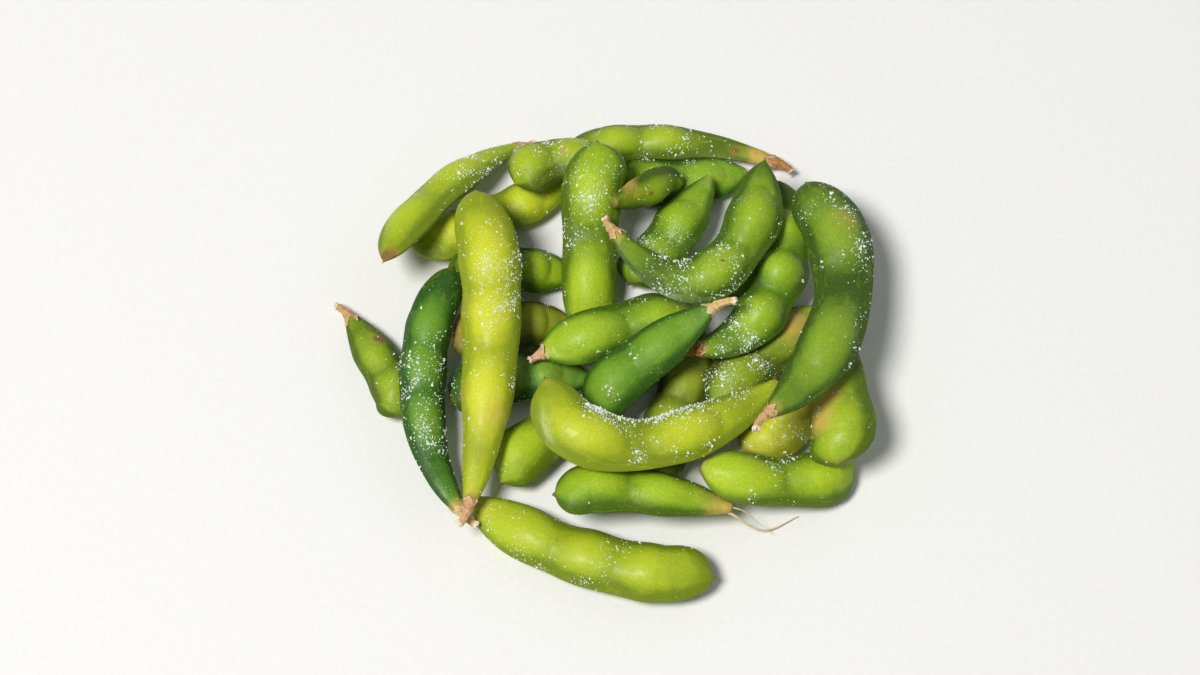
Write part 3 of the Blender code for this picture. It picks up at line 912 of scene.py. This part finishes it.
def cup_rings(name, seed, sepal_length):
    """Rings of the calyx, from the stalk over the rim to its underside."""
    pod = pods[name]
    luck = np.random.default_rng(seed)
    line, walked = joined_line(name)
    _, level, upward = level_frame(line)
    angle = np.linspace(-math.pi, math.pi, CUP_COLUMNS, endpoint=False)
    lobe = (angle / (2 * math.pi) * SEPALS + SEPAL_TWIST * np.sin(angle * 2 + seed)) % SEPALS
    which = lobe.astype(int) % SEPALS
    peak = 1 - abs(2 * (lobe % 1) - 1)
    length = (sepal_length * luck.uniform(*SEPAL_SHARES, SEPALS))[which]
    lift = luck.uniform(0.0, MOST_LIFT, SEPALS)[which]
    rim = SEPAL_BASE + length * peak**SEPAL_POINT
    rings = []
    for k in range(CUP_OUTER + CUP_INNER):
        under = k >= CUP_OUTER
        part = k / (CUP_OUTER - 1) if not under else 1 - (k - CUP_OUTER + 1) / CUP_INNER
        along = CUP_START + part * (rim - CUP_START)
        centre = at_distance(walked, line, along)
        wide = unit(at_distance(walked, level, along))
        tall = unit(at_distance(walked, upward, along))
        skin = np.array([neck_radius(pod, *row) for row in zip(along, wide, tall, angle)])
        shoulder = np.interp(along / MM, *zip(*SHOULDER)) * MM
        reach = np.maximum(shoulder, np.where(along > 0, skin + SKIN_GAP, 0))
        reach = reach + lift * np.clip(along / np.maximum(rim, SEPAL_BASE), 0, 1) ** 2
        reach = reach - (CUP_THICKNESS if under else 0)
        rings.append(section(centre, wide, tall, angle, reach))
    rings = np.array(rings)
    ruffle = noise_field(rings, RUFFLE_SIZE, seed) * RUFFLE_DEPTH
    return rings + ruffle[..., None] * unit(rings - rings.mean(axis=1, keepdims=True))


rings = cup_rings("pod_26", 26, 1.6 * MM)
print("calyx of pod_26:", rings.shape[:2], "points,", round(np.ptp(rings[..., 0]) / MM, 1), "mm wide")

# %% [markdown]
# ## Broken stalk
# The stalk is a thin ribbed rod that ends in a ragged break with a pale, splintered core. It could
# be a curve with a bevel, but a bevel is the same all round and its end is flat. A loft along the
# solid's own line takes ribs, a knob near the end and a jagged last ring, which then turns in to a
# sunken core.

# %% Stalk shape
STALK_STATIONS, STALK_COLUMNS = 46, 40
RIBS, RIB_DEPTH = 7, 0.09
STALK_PROFILE = (  # share of the stalk's length, radius in mm
    (0.0, 0.95), (0.14, 1.10), (0.28, 0.86), (0.50, 0.72), (0.78, 0.70), (0.92, 0.84), (1.0, 0.70),
)
STALK_BEND, STALK_BEND_SIZE = 0.22 * MM, 1.8 * MM
RIB_TWIST = 2.5  # radians over the stalk's length
BARK_SIZE, BARK_DEPTH = 0.6 * MM, 0.10 * MM
JAG, JAG_SIZE, JAG_WAVE = 0.60 * MM, 0.35 * MM, 0.3  # of the broken end
JAGGED_RINGS = (0.2, 0.6, 1.0)  # how much of the jag each of the last rings takes
CORE_RADIUS, CORE_DEPTH = 0.6, 0.35 * MM


def stalk_rings(name, seed, kept):
    """Rings of the stalk from inside the calyx to its core, and how far along each one lies."""
    line = rings_of(name.replace("pod", "stem"), AROUND_STEM)[0]
    knots = np.concatenate([[0], np.cumsum(np.linalg.norm(np.diff(line, axis=0), axis=1))])
    share = np.linspace(0, 1, STALK_STATIONS)
    centre = along_weights(knots / knots[-1], share * kept) @ line
    wobble = [noise_field(centre, STALK_BEND_SIZE, seed + k) for k in range(3)]
    centre = centre + STALK_BEND * smoothstep(share)[:, None] * np.stack(wobble, axis=1)
    heading, level, upward = level_frame(centre)
    angle = np.linspace(-math.pi, math.pi, STALK_COLUMNS, endpoint=False)
    radius = np.interp(share, *zip(*STALK_PROFILE)) * MM
    ribs = 1 + RIB_DEPTH * np.cos(RIBS * angle + RIB_TWIST * share[:, None] + seed)
    rings = section(centre[:, None], level[:, None], upward[:, None], angle, radius[:, None] * ribs)
    bark = BARK_DEPTH * noise_field(rings, BARK_SIZE, seed)
    rings += bark[..., None] * unit(rings - centre[:, None])
    jag = JAG * (noise_field(rings[-1], JAG_SIZE, seed + 9) + JAG_WAVE * np.cos(5 * angle))
    rings[-3:] += np.array(JAGGED_RINGS)[:, None, None] * jag[:, None] * heading[-1]
    middle = centre[-1] - CORE_DEPTH * heading[-1]
    core = middle + CORE_RADIUS * (rings[-1] - centre[-1])
    return np.vstack([rings, core[None]]), np.append(share, 1.0), middle


# %% [markdown]
# ## Dry plant finish
# Dried calyx and stalk are fibrous: fine dark and light streaks run along them, the colour goes
# from rust to straw, and the broken end is bare pale wood. The streaks come from noise that is
# stretched along the piece's own map, and the paleness from an attribute that grows towards the
# break. There is no gloss, so the coat stays off.

# %% Dry plant material
STRAW, RUST, CHAR = (0.74, 0.54, 0.22), (0.42, 0.17, 0.035), (0.090, 0.034, 0.010)
BARE_WOOD, BLUSH = (0.88, 0.76, 0.58), (0.76, 0.40, 0.30)
FIBRES_EACH_WAY = (350, 4200)  # repeats a metre along the piece and round it
BLOTCH = 1100  # repeats a metre
FIBRE_RELIEF = 0.10 * MM


def blend(first, second, share):
    """A colour some share of the way from the first to the second."""
    return tuple(np.array(first) * (1 - share) + np.array(second) * share)


def dry_finish(name, rust, blush):
    """Fibrous dry calyx, from straw to rust, with some pink."""
    finish = Finish(name, Roughness=0.8, Subsurface_Weight=0.08, Subsurface_Scale=0.6 * MM)
    along = finish.skin_place(FIBRES_EACH_WAY)
    fibre = finish.grain(1.0, detail=3.0, place=along, distortion=0.4)
    blotch = finish.grain(BLOTCH, detail=3.0)
    bare = finish.attribute("bare")
    body = blend(blend(STRAW, RUST, rust), BLUSH, blush)
    shaded, bright = blend(body, CHAR, 0.50), blend(body, STRAW, 0.7)
    colour = finish.mixed(finish.between(blotch, 0.46, 0.74), (*body, 1), (*shaded, 1))
    colour = finish.mixed(finish.between(fibre, 0.45, 0.68) * 0.6, colour, (*bright, 1))
    pale = finish.between(bare + (blotch - 0.5) * 0.5, 0.35, 0.85)
    colour = finish.mixed(pale * 0.85, colour, (*BARE_WOOD, 1))
    finish.raised(fibre * 0.8 + blotch * 0.4, FIBRE_RELIEF)
    return finish.paint(Base_Color=colour, Roughness=0.72 + fibre * 0.15)


# %% Make the calyxes and stalks
BARE_RIM = slice(CUP_OUTER - 6, CUP_OUTER + 2)  # rings at the sepals' edge, worn pale
RIM_PALENESS = 0.55
CUP_MAP, STALK_MAP = 3 * MM, 5 * MM  # length of each piece on its map
STUBS = {  # pod: sepal length in mm, share of the stalk that is left, rust, blush
    "pod_01": (1.7, 0.85, 0.60, 0.10), "pod_12": (2.0, 0.75, 0.95, 0.00),
    "pod_14": (1.2, 0.80, 0.15, 0.10), "pod_15": (1.3, 0.60, 0.45, 0.30),
    "pod_24": (1.3, 0.70, 1.20, 0.00), "pod_25": (1.5, 0.50, 0.20, 0.75),
    "pod_26": (1.4, 1.00, 0.10, 0.05), "pod_28": (1.4, 0.66, 0.40, 0.10),
    "pod_29": (1.7, 0.85, 0.50, 0.15), "pod_30": (1.1, 0.85, 0.55, 0.40),
}


def stub_pieces(name, seed):
    """The calyx and the stalk of one pod."""
    sepal_length, kept, rust, blush = STUBS[name]
    number = name[4:]
    finish = dry_finish("dry_" + number, rust, blush)
    cup = cup_rings(name, seed, sepal_length * MM)
    bare = np.zeros(cup.shape[:2])
    bare[BARE_RIM] = RIM_PALENESS
    ends = cup[0].mean(axis=0), cup[-1].mean(axis=0)
    calyx = loft("calyx_" + number, cup, *ends, {"bare": bare}, np.linspace(0, CUP_MAP, len(cup)))
    rod, share, core = stalk_rings(name, seed, kept)
    bare = np.repeat(smoothstep(share, 0.62, 1.0)[:, None], STALK_COLUMNS, axis=1)
    ends = rod[0].mean(axis=0), core
    stalk = loft("stalk_" + number, rod, *ends, {"bare": bare}, share * STALK_MAP)
    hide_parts("stem_" + number)
    for piece in (calyx, stalk):
        piece.data.materials.append(finish)
        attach(piece, "root")
    return calyx, stalk


stubs = [stub_pieces(name, int(name[4:])) for name in STUBS]
faces = sum(len(piece.data.polygons) for pair in stubs for piece in pair)
print(len(stubs), "calyxes and stalks,", faces, "faces")

# %% [markdown]
# ## Where the salt lies
# Salt is thrown from above. It sticks where the skin faces up and is open to the sky, it rolls into
# the nooks where two pods touch, and a few pinches land in heaps. It could be scattered evenly or
# painted by hand, but measuring the heap is quicker and puts it where it would lie. So the skins
# are joined into one coarser bed, a few rays from each point test the sky and the nooks, and the
# result is stored on the bed as an attribute.

# %% Pinches of salt
PINCHES = (  # pod, share of its length, the way it faces, radius in mm, amount
    ("pod_27", 0.76, (0.2, 1, 0.7), 2.4, 36), ("pod_27", 0.62, (0, 1, 0.8), 3.0, 4),
    ("pod_27", 0.44, (0, 1, 0.7), 3.4, 7), ("pod_27", 0.30, (0, 1, 0.7), 3.4, 8),
    ("pod_27", 0.58, (0, -0.4, 1), 2.4, 3), ("pod_27", 0.45, (0, -0.6, 1), 1.8, 4),
    ("pod_30", 0.80, (0, 0, 1), 4.5, 1.5), ("pod_30", 0.70, (0.4, 0, 1), 4.5, 5),
    ("pod_30", 0.58, (0.3, 0, 1), 3.0, 5), ("pod_30", 0.40, (0.3, 0, 1), 5.0, 1),
    ("pod_22", 0.80, (0, 0.2, 1), 4.0, 4), ("pod_22", 0.66, (0, 0, 1), 3.0, 5),
    ("pod_22", 0.52, (-1, 0, 0.6), 3.2, 4), ("pod_19", 0.70, (0, 0.2, 1), 5.0, 6),
    ("pod_28", 0.30, (0, 0, 1), 5.0, 3.5), ("pod_28", 0.55, (0, 0, 1), 4.0, 2),
    ("pod_24", 0.12, (0, 0.4, 1), 4.0, 7), ("pod_24", 0.30, (0, 0.3, 1), 3.0, 2),
    ("pod_07", 0.58, (0, 0, 1), 4.0, 5), ("pod_07", 0.85, (0, 0, 1), 4.0, 4),
    ("pod_29", 0.70, (1, 0, 0.8), 5.0, 3), ("pod_29", 0.88, (0, 0, 1), 4.0, 3),
    ("pod_14", 0.55, (-0.2, 0, 1), 5.5, 4), ("pod_14", 0.30, (0, 0, 1), 4.5, 3),
    ("pod_18", 0.45, (0, 0.3, 1), 3.0, 4), ("pod_08", 0.60, (0, 0, 1), 5.0, 5),
    ("pod_03", 0.60, (0, 0, 1), 5.0, 5), ("pod_12", 0.45, (0, 0, 1), 7.0, 1.5),
    ("pod_15", 0.35, (0, 0, 1), 7.0, 1.5), ("pod_20", 0.45, (0, 0, 1), 4.0, 3),
    ("pod_13", 0.14, (0, 0.2, 1), 3.5, 1.5), ("pod_13", 0.34, (0, -1, 0.5), 3.0, 3),
    ("pod_13", 0.55, (0, -1, 0.5), 3.0, 2.5), ("pod_13", 0.62, (0, 0.2, 1), 3.0, 1.5),
)


print(len(PINCHES), "pinches on", len({row[0] for row in PINCHES}), "pods")

# %% One bed of all the skins
BED_SKIP = 2  # every second station and column


def joined_bed():
    """One coarse mesh object of all the skins."""
    grids = [pod.points[::BED_SKIP, ::BED_SKIP] for pod in pods.values()]
    stations, columns = grids[0].shape[:2]
    tube = tube_faces(stations, columns)[0]
    faces = np.vstack([tube + k * stations * columns for k in range(len(grids))])
    points = np.vstack([grid.reshape(-1, 3) for grid in grids])
    mesh = bpy.data.meshes.new("bed")
    mesh.from_pydata(points.tolist(), [], faces.tolist())
    mesh.update()
    bed = bpy.data.objects.new("bed", mesh)
    scene.collection.objects.link(bed)
    return bed


bed = joined_bed()
print(len(bed.data.vertices), "points on the bed")

# %% Salt measured on the bed
SKY_TILT, SKY_RAYS, SKY_REACH = math.radians(28), 6, 60 * MM
NOOK_TILT, NOOK_RAYS, NOOK_REACH = math.radians(72), 8, 2.6 * MM
PATCH_SIZE, CLUMP_SIZE = 9 * MM, 2.8 * MM
BARE_SALT, NOOK_SALT = 0.06, 1.3  # how much lies on open skin, and in a nook
STEEPEST, STEEPEST_NOOK = 0.05, 0.25  # least upward part of the normal where salt stays
START_OFF = 0.2 * MM  # rays start this far off the skin
LEAST_PATCH, PATCH_RISE = 0.10, 1.9  # salt between patches, and how much more is in one
LEAST_CLUMP, CLUMP_RISE = 0.06, 2.6
LOOSE_PINCH = 0.25  # the part of a pinch that doesn't lie in clumps


def tilted_rays(tilt, count):
    turns = [2 * math.pi * k / count for k in range(count)]
    flat, tall = math.sin(tilt), math.cos(tilt)
    return [Vector((flat * math.cos(turn), flat * math.sin(turn), tall)) for turn in turns]


def hit_share(tree, place, rays, reach):
    return sum(tree.ray_cast(place, ray, reach)[0] is not None for ray in rays) / len(rays)


def pinched(places):
    """How much the pinches add at each place."""
    added = np.zeros(len(places))
    for name, share, facing, radius, amount in PINCHES:
        pod = pods[name]
        added += amount * spot(pod, pod.points, places, share, facing, radius)
    return added


def salt_on(bed):
    """The amount of salt on each point of the bed, as a list and as an attribute."""
    mesh = bed.data
    corners = [corner.co for corner in mesh.vertices]
    tree = BVHTree.FromPolygons(corners, [face.vertices for face in mesh.polygons])
    sky_rays = [Vector(UP)] + tilted_rays(SKY_TILT, SKY_RAYS)
    nook_rays = tilted_rays(NOOK_TILT, NOOK_RAYS)
    amount = np.zeros(len(mesh.vertices))
    for k, corner in enumerate(mesh.vertices):
        upward = corner.normal.z
        if upward > STEEPEST:
            place = corner.co + corner.normal * START_OFF
            clear = 1 - hit_share(tree, place, sky_rays, SKY_REACH)
            nook = hit_share(tree, place, nook_rays, NOOK_REACH) * (upward > STEEPEST_NOOK)
            amount[k] = upward**0.7 * clear**2 * (BARE_SALT + NOOK_SALT * nook)
    places = np.array(corners)
    open_sky = np.minimum(amount / BARE_SALT, 1)
    patches = smoothstep(noise_field(places, PATCH_SIZE, 5), -0.10, 0.50)
    clumps = smoothstep(noise_field(places, CLUMP_SIZE, 8), 0.10, 0.50)
    patches = LEAST_PATCH + PATCH_RISE * patches
    clumps = LEAST_CLUMP + CLUMP_RISE * clumps
    amount = amount * patches * clumps + open_sky * pinched(places) * (LOOSE_PINCH + clumps)
    layer = mesh.attributes.new("salt", "FLOAT", "POINT")
    layer.data.foreach_set("value", amount.astype(np.float32))
    return amount


salt = salt_on(bed)
print("most salt", round(salt.max(), 1), "on", round((salt > 0).mean() * 100), "% of the bed")

# %% [markdown]
# ## A recipe for scattered pieces
# Thousands of grains, and later hairs, repeat one small shape over a surface. Geometry Nodes does
# that well: it places points by density, puts a copy of the shape on each, turned and sized by a
# seeded random value, and makes real mesh of them. The class below adds its nodes in the same way
# as the one for materials. Its inputs have names, so the same recipe can be used again with other
# values, and in the end each result is turned into a plain mesh.

# %% Recipe
class Recipe:
    """A Geometry Nodes group while it is being made."""

    def __init__(self, name, inputs):
        self.tree = bpy.data.node_groups.new(name, "GeometryNodeTree")
        sockets = self.tree.interface
        sockets.new_socket("Surface", in_out="INPUT", socket_type="NodeSocketGeometry")
        sockets.new_socket("Pieces", in_out="OUTPUT", socket_type="NodeSocketGeometry")
        self.keys = {}
        for key, kind in inputs.items():
            socket = sockets.new_socket(key, in_out="INPUT", socket_type="NodeSocket" + kind)
            self.keys[key] = socket.identifier
        self.given = self.tree.nodes.new("NodeGroupInput").outputs
        self.result = self.tree.nodes.new("NodeGroupOutput").inputs

    def node(self, kind, settings, inputs, output=0):
        """Any node: its settings first, then its sockets by name or number."""
        made = self.tree.nodes.new(kind)
        for key, value in settings.items():
            setattr(made, key, value)
        for key, value in inputs.items():
            if isinstance(value, bpy.types.NodeSocket):
                self.tree.links.new(value, made.inputs[key])
            else:
                made.inputs[key].default_value = value
        return made.outputs[output]

    def maths(self, operation, first, second):
        return self.node("ShaderNodeMath", {"operation": operation}, {0: first, 1: second})

    def random(self, low, high, seed):
        """A vector whose three numbers each lie between low and high."""
        settings = {"data_type": "FLOAT_VECTOR"}
        inputs = {"Min": (low,) * 3, "Max": (high,) * 3, "Seed": seed}
        return self.node("FunctionNodeRandomValue", settings, inputs)

    def scaled(self, vector, scale):
        inputs = {0: vector, "Scale": scale}
        return self.node("ShaderNodeVectorMath", {"operation": "SCALE"}, inputs)

    def points(self, attribute):
        """Points on the surface by an attribute's density, and the surface's normal at each."""
        named = {"data_type": "FLOAT"}
        density = self.node("GeometryNodeInputNamedAttribute", named, {"Name": attribute})
        density = self.maths("MULTIPLY", density, self.given["Density"])
        inputs = {"Mesh": self.given["Surface"], "Density": density, "Seed": self.given["Seed"]}
        points = self.node("GeometryNodeDistributePointsOnFaces", {}, inputs)
        return points, points.node.outputs["Normal"]

    def finished(self, points, shape, turn, scale):
        """Real mesh of the shape on the points, in the material given."""
        inputs = {"Points": points, "Instance": shape, "Rotation": turn, "Scale": scale}
        copies = self.node("GeometryNodeInstanceOnPoints", {}, inputs)
        real = self.node("GeometryNodeRealizeInstances", {}, {0: copies})
        inputs = {"Geometry": real, "Material": self.given["Material"]}
        self.tree.links.new(self.node("GeometryNodeSetMaterial", {}, inputs), self.result[0])


# %% A recipe's result as a plain mesh
def scattered(name, recipe, surface, values):
    """A plain mesh object made by a recipe on a surface."""
    modifier = surface.modifiers.new(name, "NODES")
    modifier.node_group = recipe.tree
    for key, value in values.items():
        modifier[recipe.keys[key]] = value
    surface.update_tag()
    ready = surface.evaluated_get(bpy.context.evaluated_depsgraph_get())
    mesh = bpy.data.meshes.new_from_object(ready)
    surface.modifiers.remove(modifier)
    mesh.name = name
    piece = bpy.data.objects.new(name, mesh)
    scene.collection.objects.link(piece)
    return piece


# %% [markdown]
# ## Salt grains
# Under a lens table salt is small cubes, and lumps where damp crystals have grown together. Balls
# would need more faces and would be the wrong shape, so a fine grain is one crystal, stretched and
# turned at random, and a coarse one is a clump of four. Fine grains are a tenth of a millimetre to a
# quarter; coarse ones reach half a millimetre, lie thickest in the pinches, and catch the light.

# %% Salt crystal material
FROST, WET = 5200, 1500  # repeats a metre
FROSTED, WHITE = (0.84, 0.87, 0.80, 1), (1.0, 1.0, 0.97, 1)
PAINTED_SKIN_BEHIND, SHOW_THROUGH_SHARE = (0.66, 0.78, 0.38, 1), 0.65
FACE_RELIEF = 0.04 * MM


def salt_finish():
    """White crystal, a little clear, with rough faces. On wet grains the green of the skin behind is
    painted in.
    """
    finish = Finish("salt_crystal", Subsurface_Weight=0.25, Subsurface_Scale=0.4 * MM, IOR=1.54)
    frost = finish.grain(FROST, detail=2.0)
    clear = finish.grain(WET, detail=1.0)
    colour = finish.mixed(frost, FROSTED, WHITE)
    # painted show-through: the green of the skin behind is mixed into some grains' colour
    colour = finish.mixed(finish.between(clear, 0.52, 0.66) * SHOW_THROUGH_SHARE, colour, PAINTED_SKIN_BEHIND)
    finish.raised(frost, FACE_RELIEF)
    return finish.paint(Base_Color=colour, Roughness=0.25 + frost * 0.4)


# %% Grains
CLUMP = (  # place, turn and size of each crystal in a clump, in clump sizes and radians
    ((0, 0, 0), (0.3, 0.2, 0.1), 0.62), ((0.42, 0.12, 0.05), (0.9, 0.4, 1.2), 0.50),
    ((-0.25, 0.38, 0.10), (0.2, 1.1, 0.5), 0.44), ((-0.10, -0.40, 0.02), (1.4, 0.6, 0.3), 0.38),
)


CLUMP_SIDES = (1, 0.8, 0.9)  # of each crystal in a clump
STRETCH = (0.55, 1.25)  # least and most, along each side of a grain
SMALLEST, SIZE_SPREAD, SMALL_BIAS = 0.65, 1.1, 3.0  # of grains: a higher bias makes big ones rarer
GRAIN_LIFT = 0.05 * MM


def crystals(recipe, single):
    """The shape that is repeated: one plain crystal, or a clump of them."""
    if single:
        return recipe.node("GeometryNodeMeshCube", {}, {"Size": (1, 1, 1)})
    joined = recipe.tree.nodes.new("GeometryNodeJoinGeometry")
    for place, turn, size in CLUMP:
        sides = tuple(size * side for side in CLUMP_SIDES)
        cube = recipe.node("GeometryNodeMeshCube", {}, {"Size": sides})
        inputs = {"Geometry": cube, "Translation": place, "Rotation": turn}
        recipe.tree.links.new(recipe.node("GeometryNodeTransform", {}, inputs), joined.inputs[0])
    return joined.outputs[0]


def salt_recipe(name, single):
    """Crystals scattered by the bed's salt, most of them small."""
    kinds = {"Density": "Float", "Size": "Float", "Seed": "Int", "Material": "Material"}
    recipe = Recipe(name, kinds)
    seed = recipe.given["Seed"]
    points, normal = recipe.points("salt")
    turn = recipe.node("FunctionNodeEulerToRotation", {}, {0: recipe.random(0, 2 * math.pi, seed)})
    spread = recipe.random(0, 1, recipe.maths("ADD", seed, 1.0))
    spread = recipe.node("ShaderNodeSeparateXYZ", {}, {0: spread})
    spread = recipe.maths("MULTIPLY", recipe.maths("POWER", spread, SMALL_BIAS), SIZE_SPREAD)
    size = recipe.maths("MULTIPLY", recipe.maths("ADD", spread, SMALLEST), recipe.given["Size"])
    scale = recipe.scaled(recipe.random(*STRETCH, seed), size)
    inputs = {"Geometry": points, "Offset": recipe.scaled(normal, GRAIN_LIFT)}
    points = recipe.node("GeometryNodeSetPosition", {}, inputs)
    recipe.finished(points, crystals(recipe, single), turn, scale)
    return recipe


SALT = (  # name, one crystal or a clump, grains a square metre where salt is 1, size in mm, seed
    ("salt_fine", True, 1.15e6, 0.16, 21),
    ("salt_coarse", False, 0.26e6, 0.42, 22),
)
crystal = salt_finish()
for name, single, density, size, seed in SALT:
    values = {"Density": density, "Size": size * MM, "Seed": seed, "Material": crystal}
    grains = scattered(name, salt_recipe(name, single), bed, values)
    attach(grains, "root")
    print(name, len(grains.data.polygons), "faces")

# %% [markdown]
# ## Short hairs
# A soybean pod is downy: short pale hairs stand on its skin, and show best along its outline. Each
# is a three-sided spike a twentieth of a millimetre thick. Hair curves would be lighter, but the
# finished piece has to be plain mesh, so they come from the same kind of recipe as the salt and lean
# at random. Those that would reach the floor are left off.

# %% Hairs
HAIR_FOOT, HAIR_LEAN, HAIR_SCALES = 0.036, 0.9, (0.5, 1.1)  # in hair lengths
HAIR_LENGTH, HAIR_DENSITY, HAIR_SEED = 0.85 * MM, 0.40e6, 31
DOWN_PATCH = 6 * MM
BALD_BELOW, DOWNY_ABOVE = 1.5 * MM, 2.5 * MM  # height above the floor


def hair_recipe():
    """Thin leaning spikes, scattered by the bed's down."""
    kinds = {"Density": "Float", "Length": "Float", "Seed": "Int", "Material": "Material"}
    recipe = Recipe("short_hairs", kinds)
    seed = recipe.given["Seed"]
    points, normal = recipe.points("down")
    spike = recipe.node("GeometryNodeMeshCone", {"fill_type": "NGON"}, {
        "Vertices": 3, "Radius Top": 0.0, "Radius Bottom": HAIR_FOOT, "Depth": 1.0})
    lean = recipe.random(-HAIR_LEAN, HAIR_LEAN, seed)
    aim = recipe.node("ShaderNodeVectorMath", {"operation": "ADD"}, {0: normal, 1: lean})
    turn = recipe.node("FunctionNodeAlignRotationToVector", {"axis": "Z"}, {"Vector": aim})
    scale = recipe.scaled(recipe.random(*HAIR_SCALES, seed), recipe.given["Length"])
    recipe.finished(points, spike, turn, scale)
    return recipe


def down_on(bed):
    """How downy each point of the bed is: in patches, and only where it is clear of the floor."""
    places = np.array([corner.co for corner in bed.data.vertices])
    down = smoothstep(noise_field(places, DOWN_PATCH, 11), -0.4, 0.5)
    down *= smoothstep(places[:, 2], BALD_BELOW, DOWNY_ABOVE)
    layer = bed.data.attributes.new("down", "FLOAT", "POINT")
    layer.data.foreach_set("value", down.astype(np.float32))


def hair_finish():
    """Pale, slightly clear hair."""
    finish = Finish("pale_hair", Subsurface_Weight=0.2, Subsurface_Scale=0.2 * MM)
    tone = finish.grain(900)
    colour = finish.mixed(tone, (0.50, 0.56, 0.25, 1), (0.85, 0.86, 0.62, 1))
    return finish.paint(Base_Color=colour, Roughness=0.4 + tone * 0.2)


down_on(bed)
values = {"Density": HAIR_DENSITY, "Length": HAIR_LENGTH, "Seed": HAIR_SEED}
hairs = scattered("short_hairs", hair_recipe(), bed, {**values, "Material": hair_finish()})
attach(hairs, "root")
bpy.data.objects.remove(bed)
print(len(hairs.data.polygons), "faces of hairs")

# %% [markdown]
# ## Dry fibres
# When a pod is pulled off its plant, a string of its seam often comes away and dries. One hangs from
# the stalk end of the pod at the lower right, and a shorter one lies beside it. A curve with a bevel
# would be as quick, but it has no map for the streaks, so each is a thin loft along a smooth line
# through a few points, slightly flat and twisted, tapering to its free end.

# %% Fibres
FIBRES = {  # name: (radius in mm, points in mm)
    "fibre_long": (0.26, (
        (25.5, -37.5, 8.2), (28.0, -38.2, 6.6), (31.5, -39.0, 3.0),
        (35.0, -38.6, 0.9), (38.5, -36.8, 0.5), (41.0, -35.4, 0.4))),
    "fibre_short": (0.15, (
        (26.0, -36.6, 8.4), (29.5, -37.0, 6.8), (32.5, -38.2, 3.6), (35.5, -39.8, 1.2))),
}
FIBRE_STATIONS, FIBRE_COLUMNS = 60, 8
FIBRE_TAPER, FIBRE_FLATNESS, FIBRE_TWIST = 0.75, 0.3, 9  # the twist is in radians
FIBRE_PALENESS, FIBRE_MAP = 0.6, 20 * MM


def fibre_piece(name, radius, knots, finish):
    """A tapering strand through its knots."""
    knots = np.array(knots) * MM
    places = np.linspace(0, 1, len(knots))
    share = np.linspace(0, 1, FIBRE_STATIONS)
    centre = along_weights(places, share) @ knots
    _, level, upward = level_frame(centre)
    angle = np.linspace(-math.pi, math.pi, FIBRE_COLUMNS, endpoint=False)
    taper = radius * MM * (1 - FIBRE_TAPER * share[:, None])
    reach = taper * (1 + FIBRE_FLATNESS * np.cos(2 * angle + FIBRE_TWIST * share[:, None]))
    rings = section(centre[:, None], level[:, None], upward[:, None], angle, reach)
    bare = np.full((FIBRE_STATIONS, FIBRE_COLUMNS), FIBRE_PALENESS)
    ends = rings[0].mean(axis=0), rings[-1].mean(axis=0)
    fibre = loft(name, rings, *ends, {"bare": bare}, share * FIBRE_MAP)
    fibre.data.materials.append(finish)
    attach(fibre, "root")
    return fibre


fibre_look = dry_finish("dry_fibre", 0.0, 0.0)
fibres = [fibre_piece(name, *row, fibre_look) for name, row in FIBRES.items()]
print(len(fibres), "fibres")
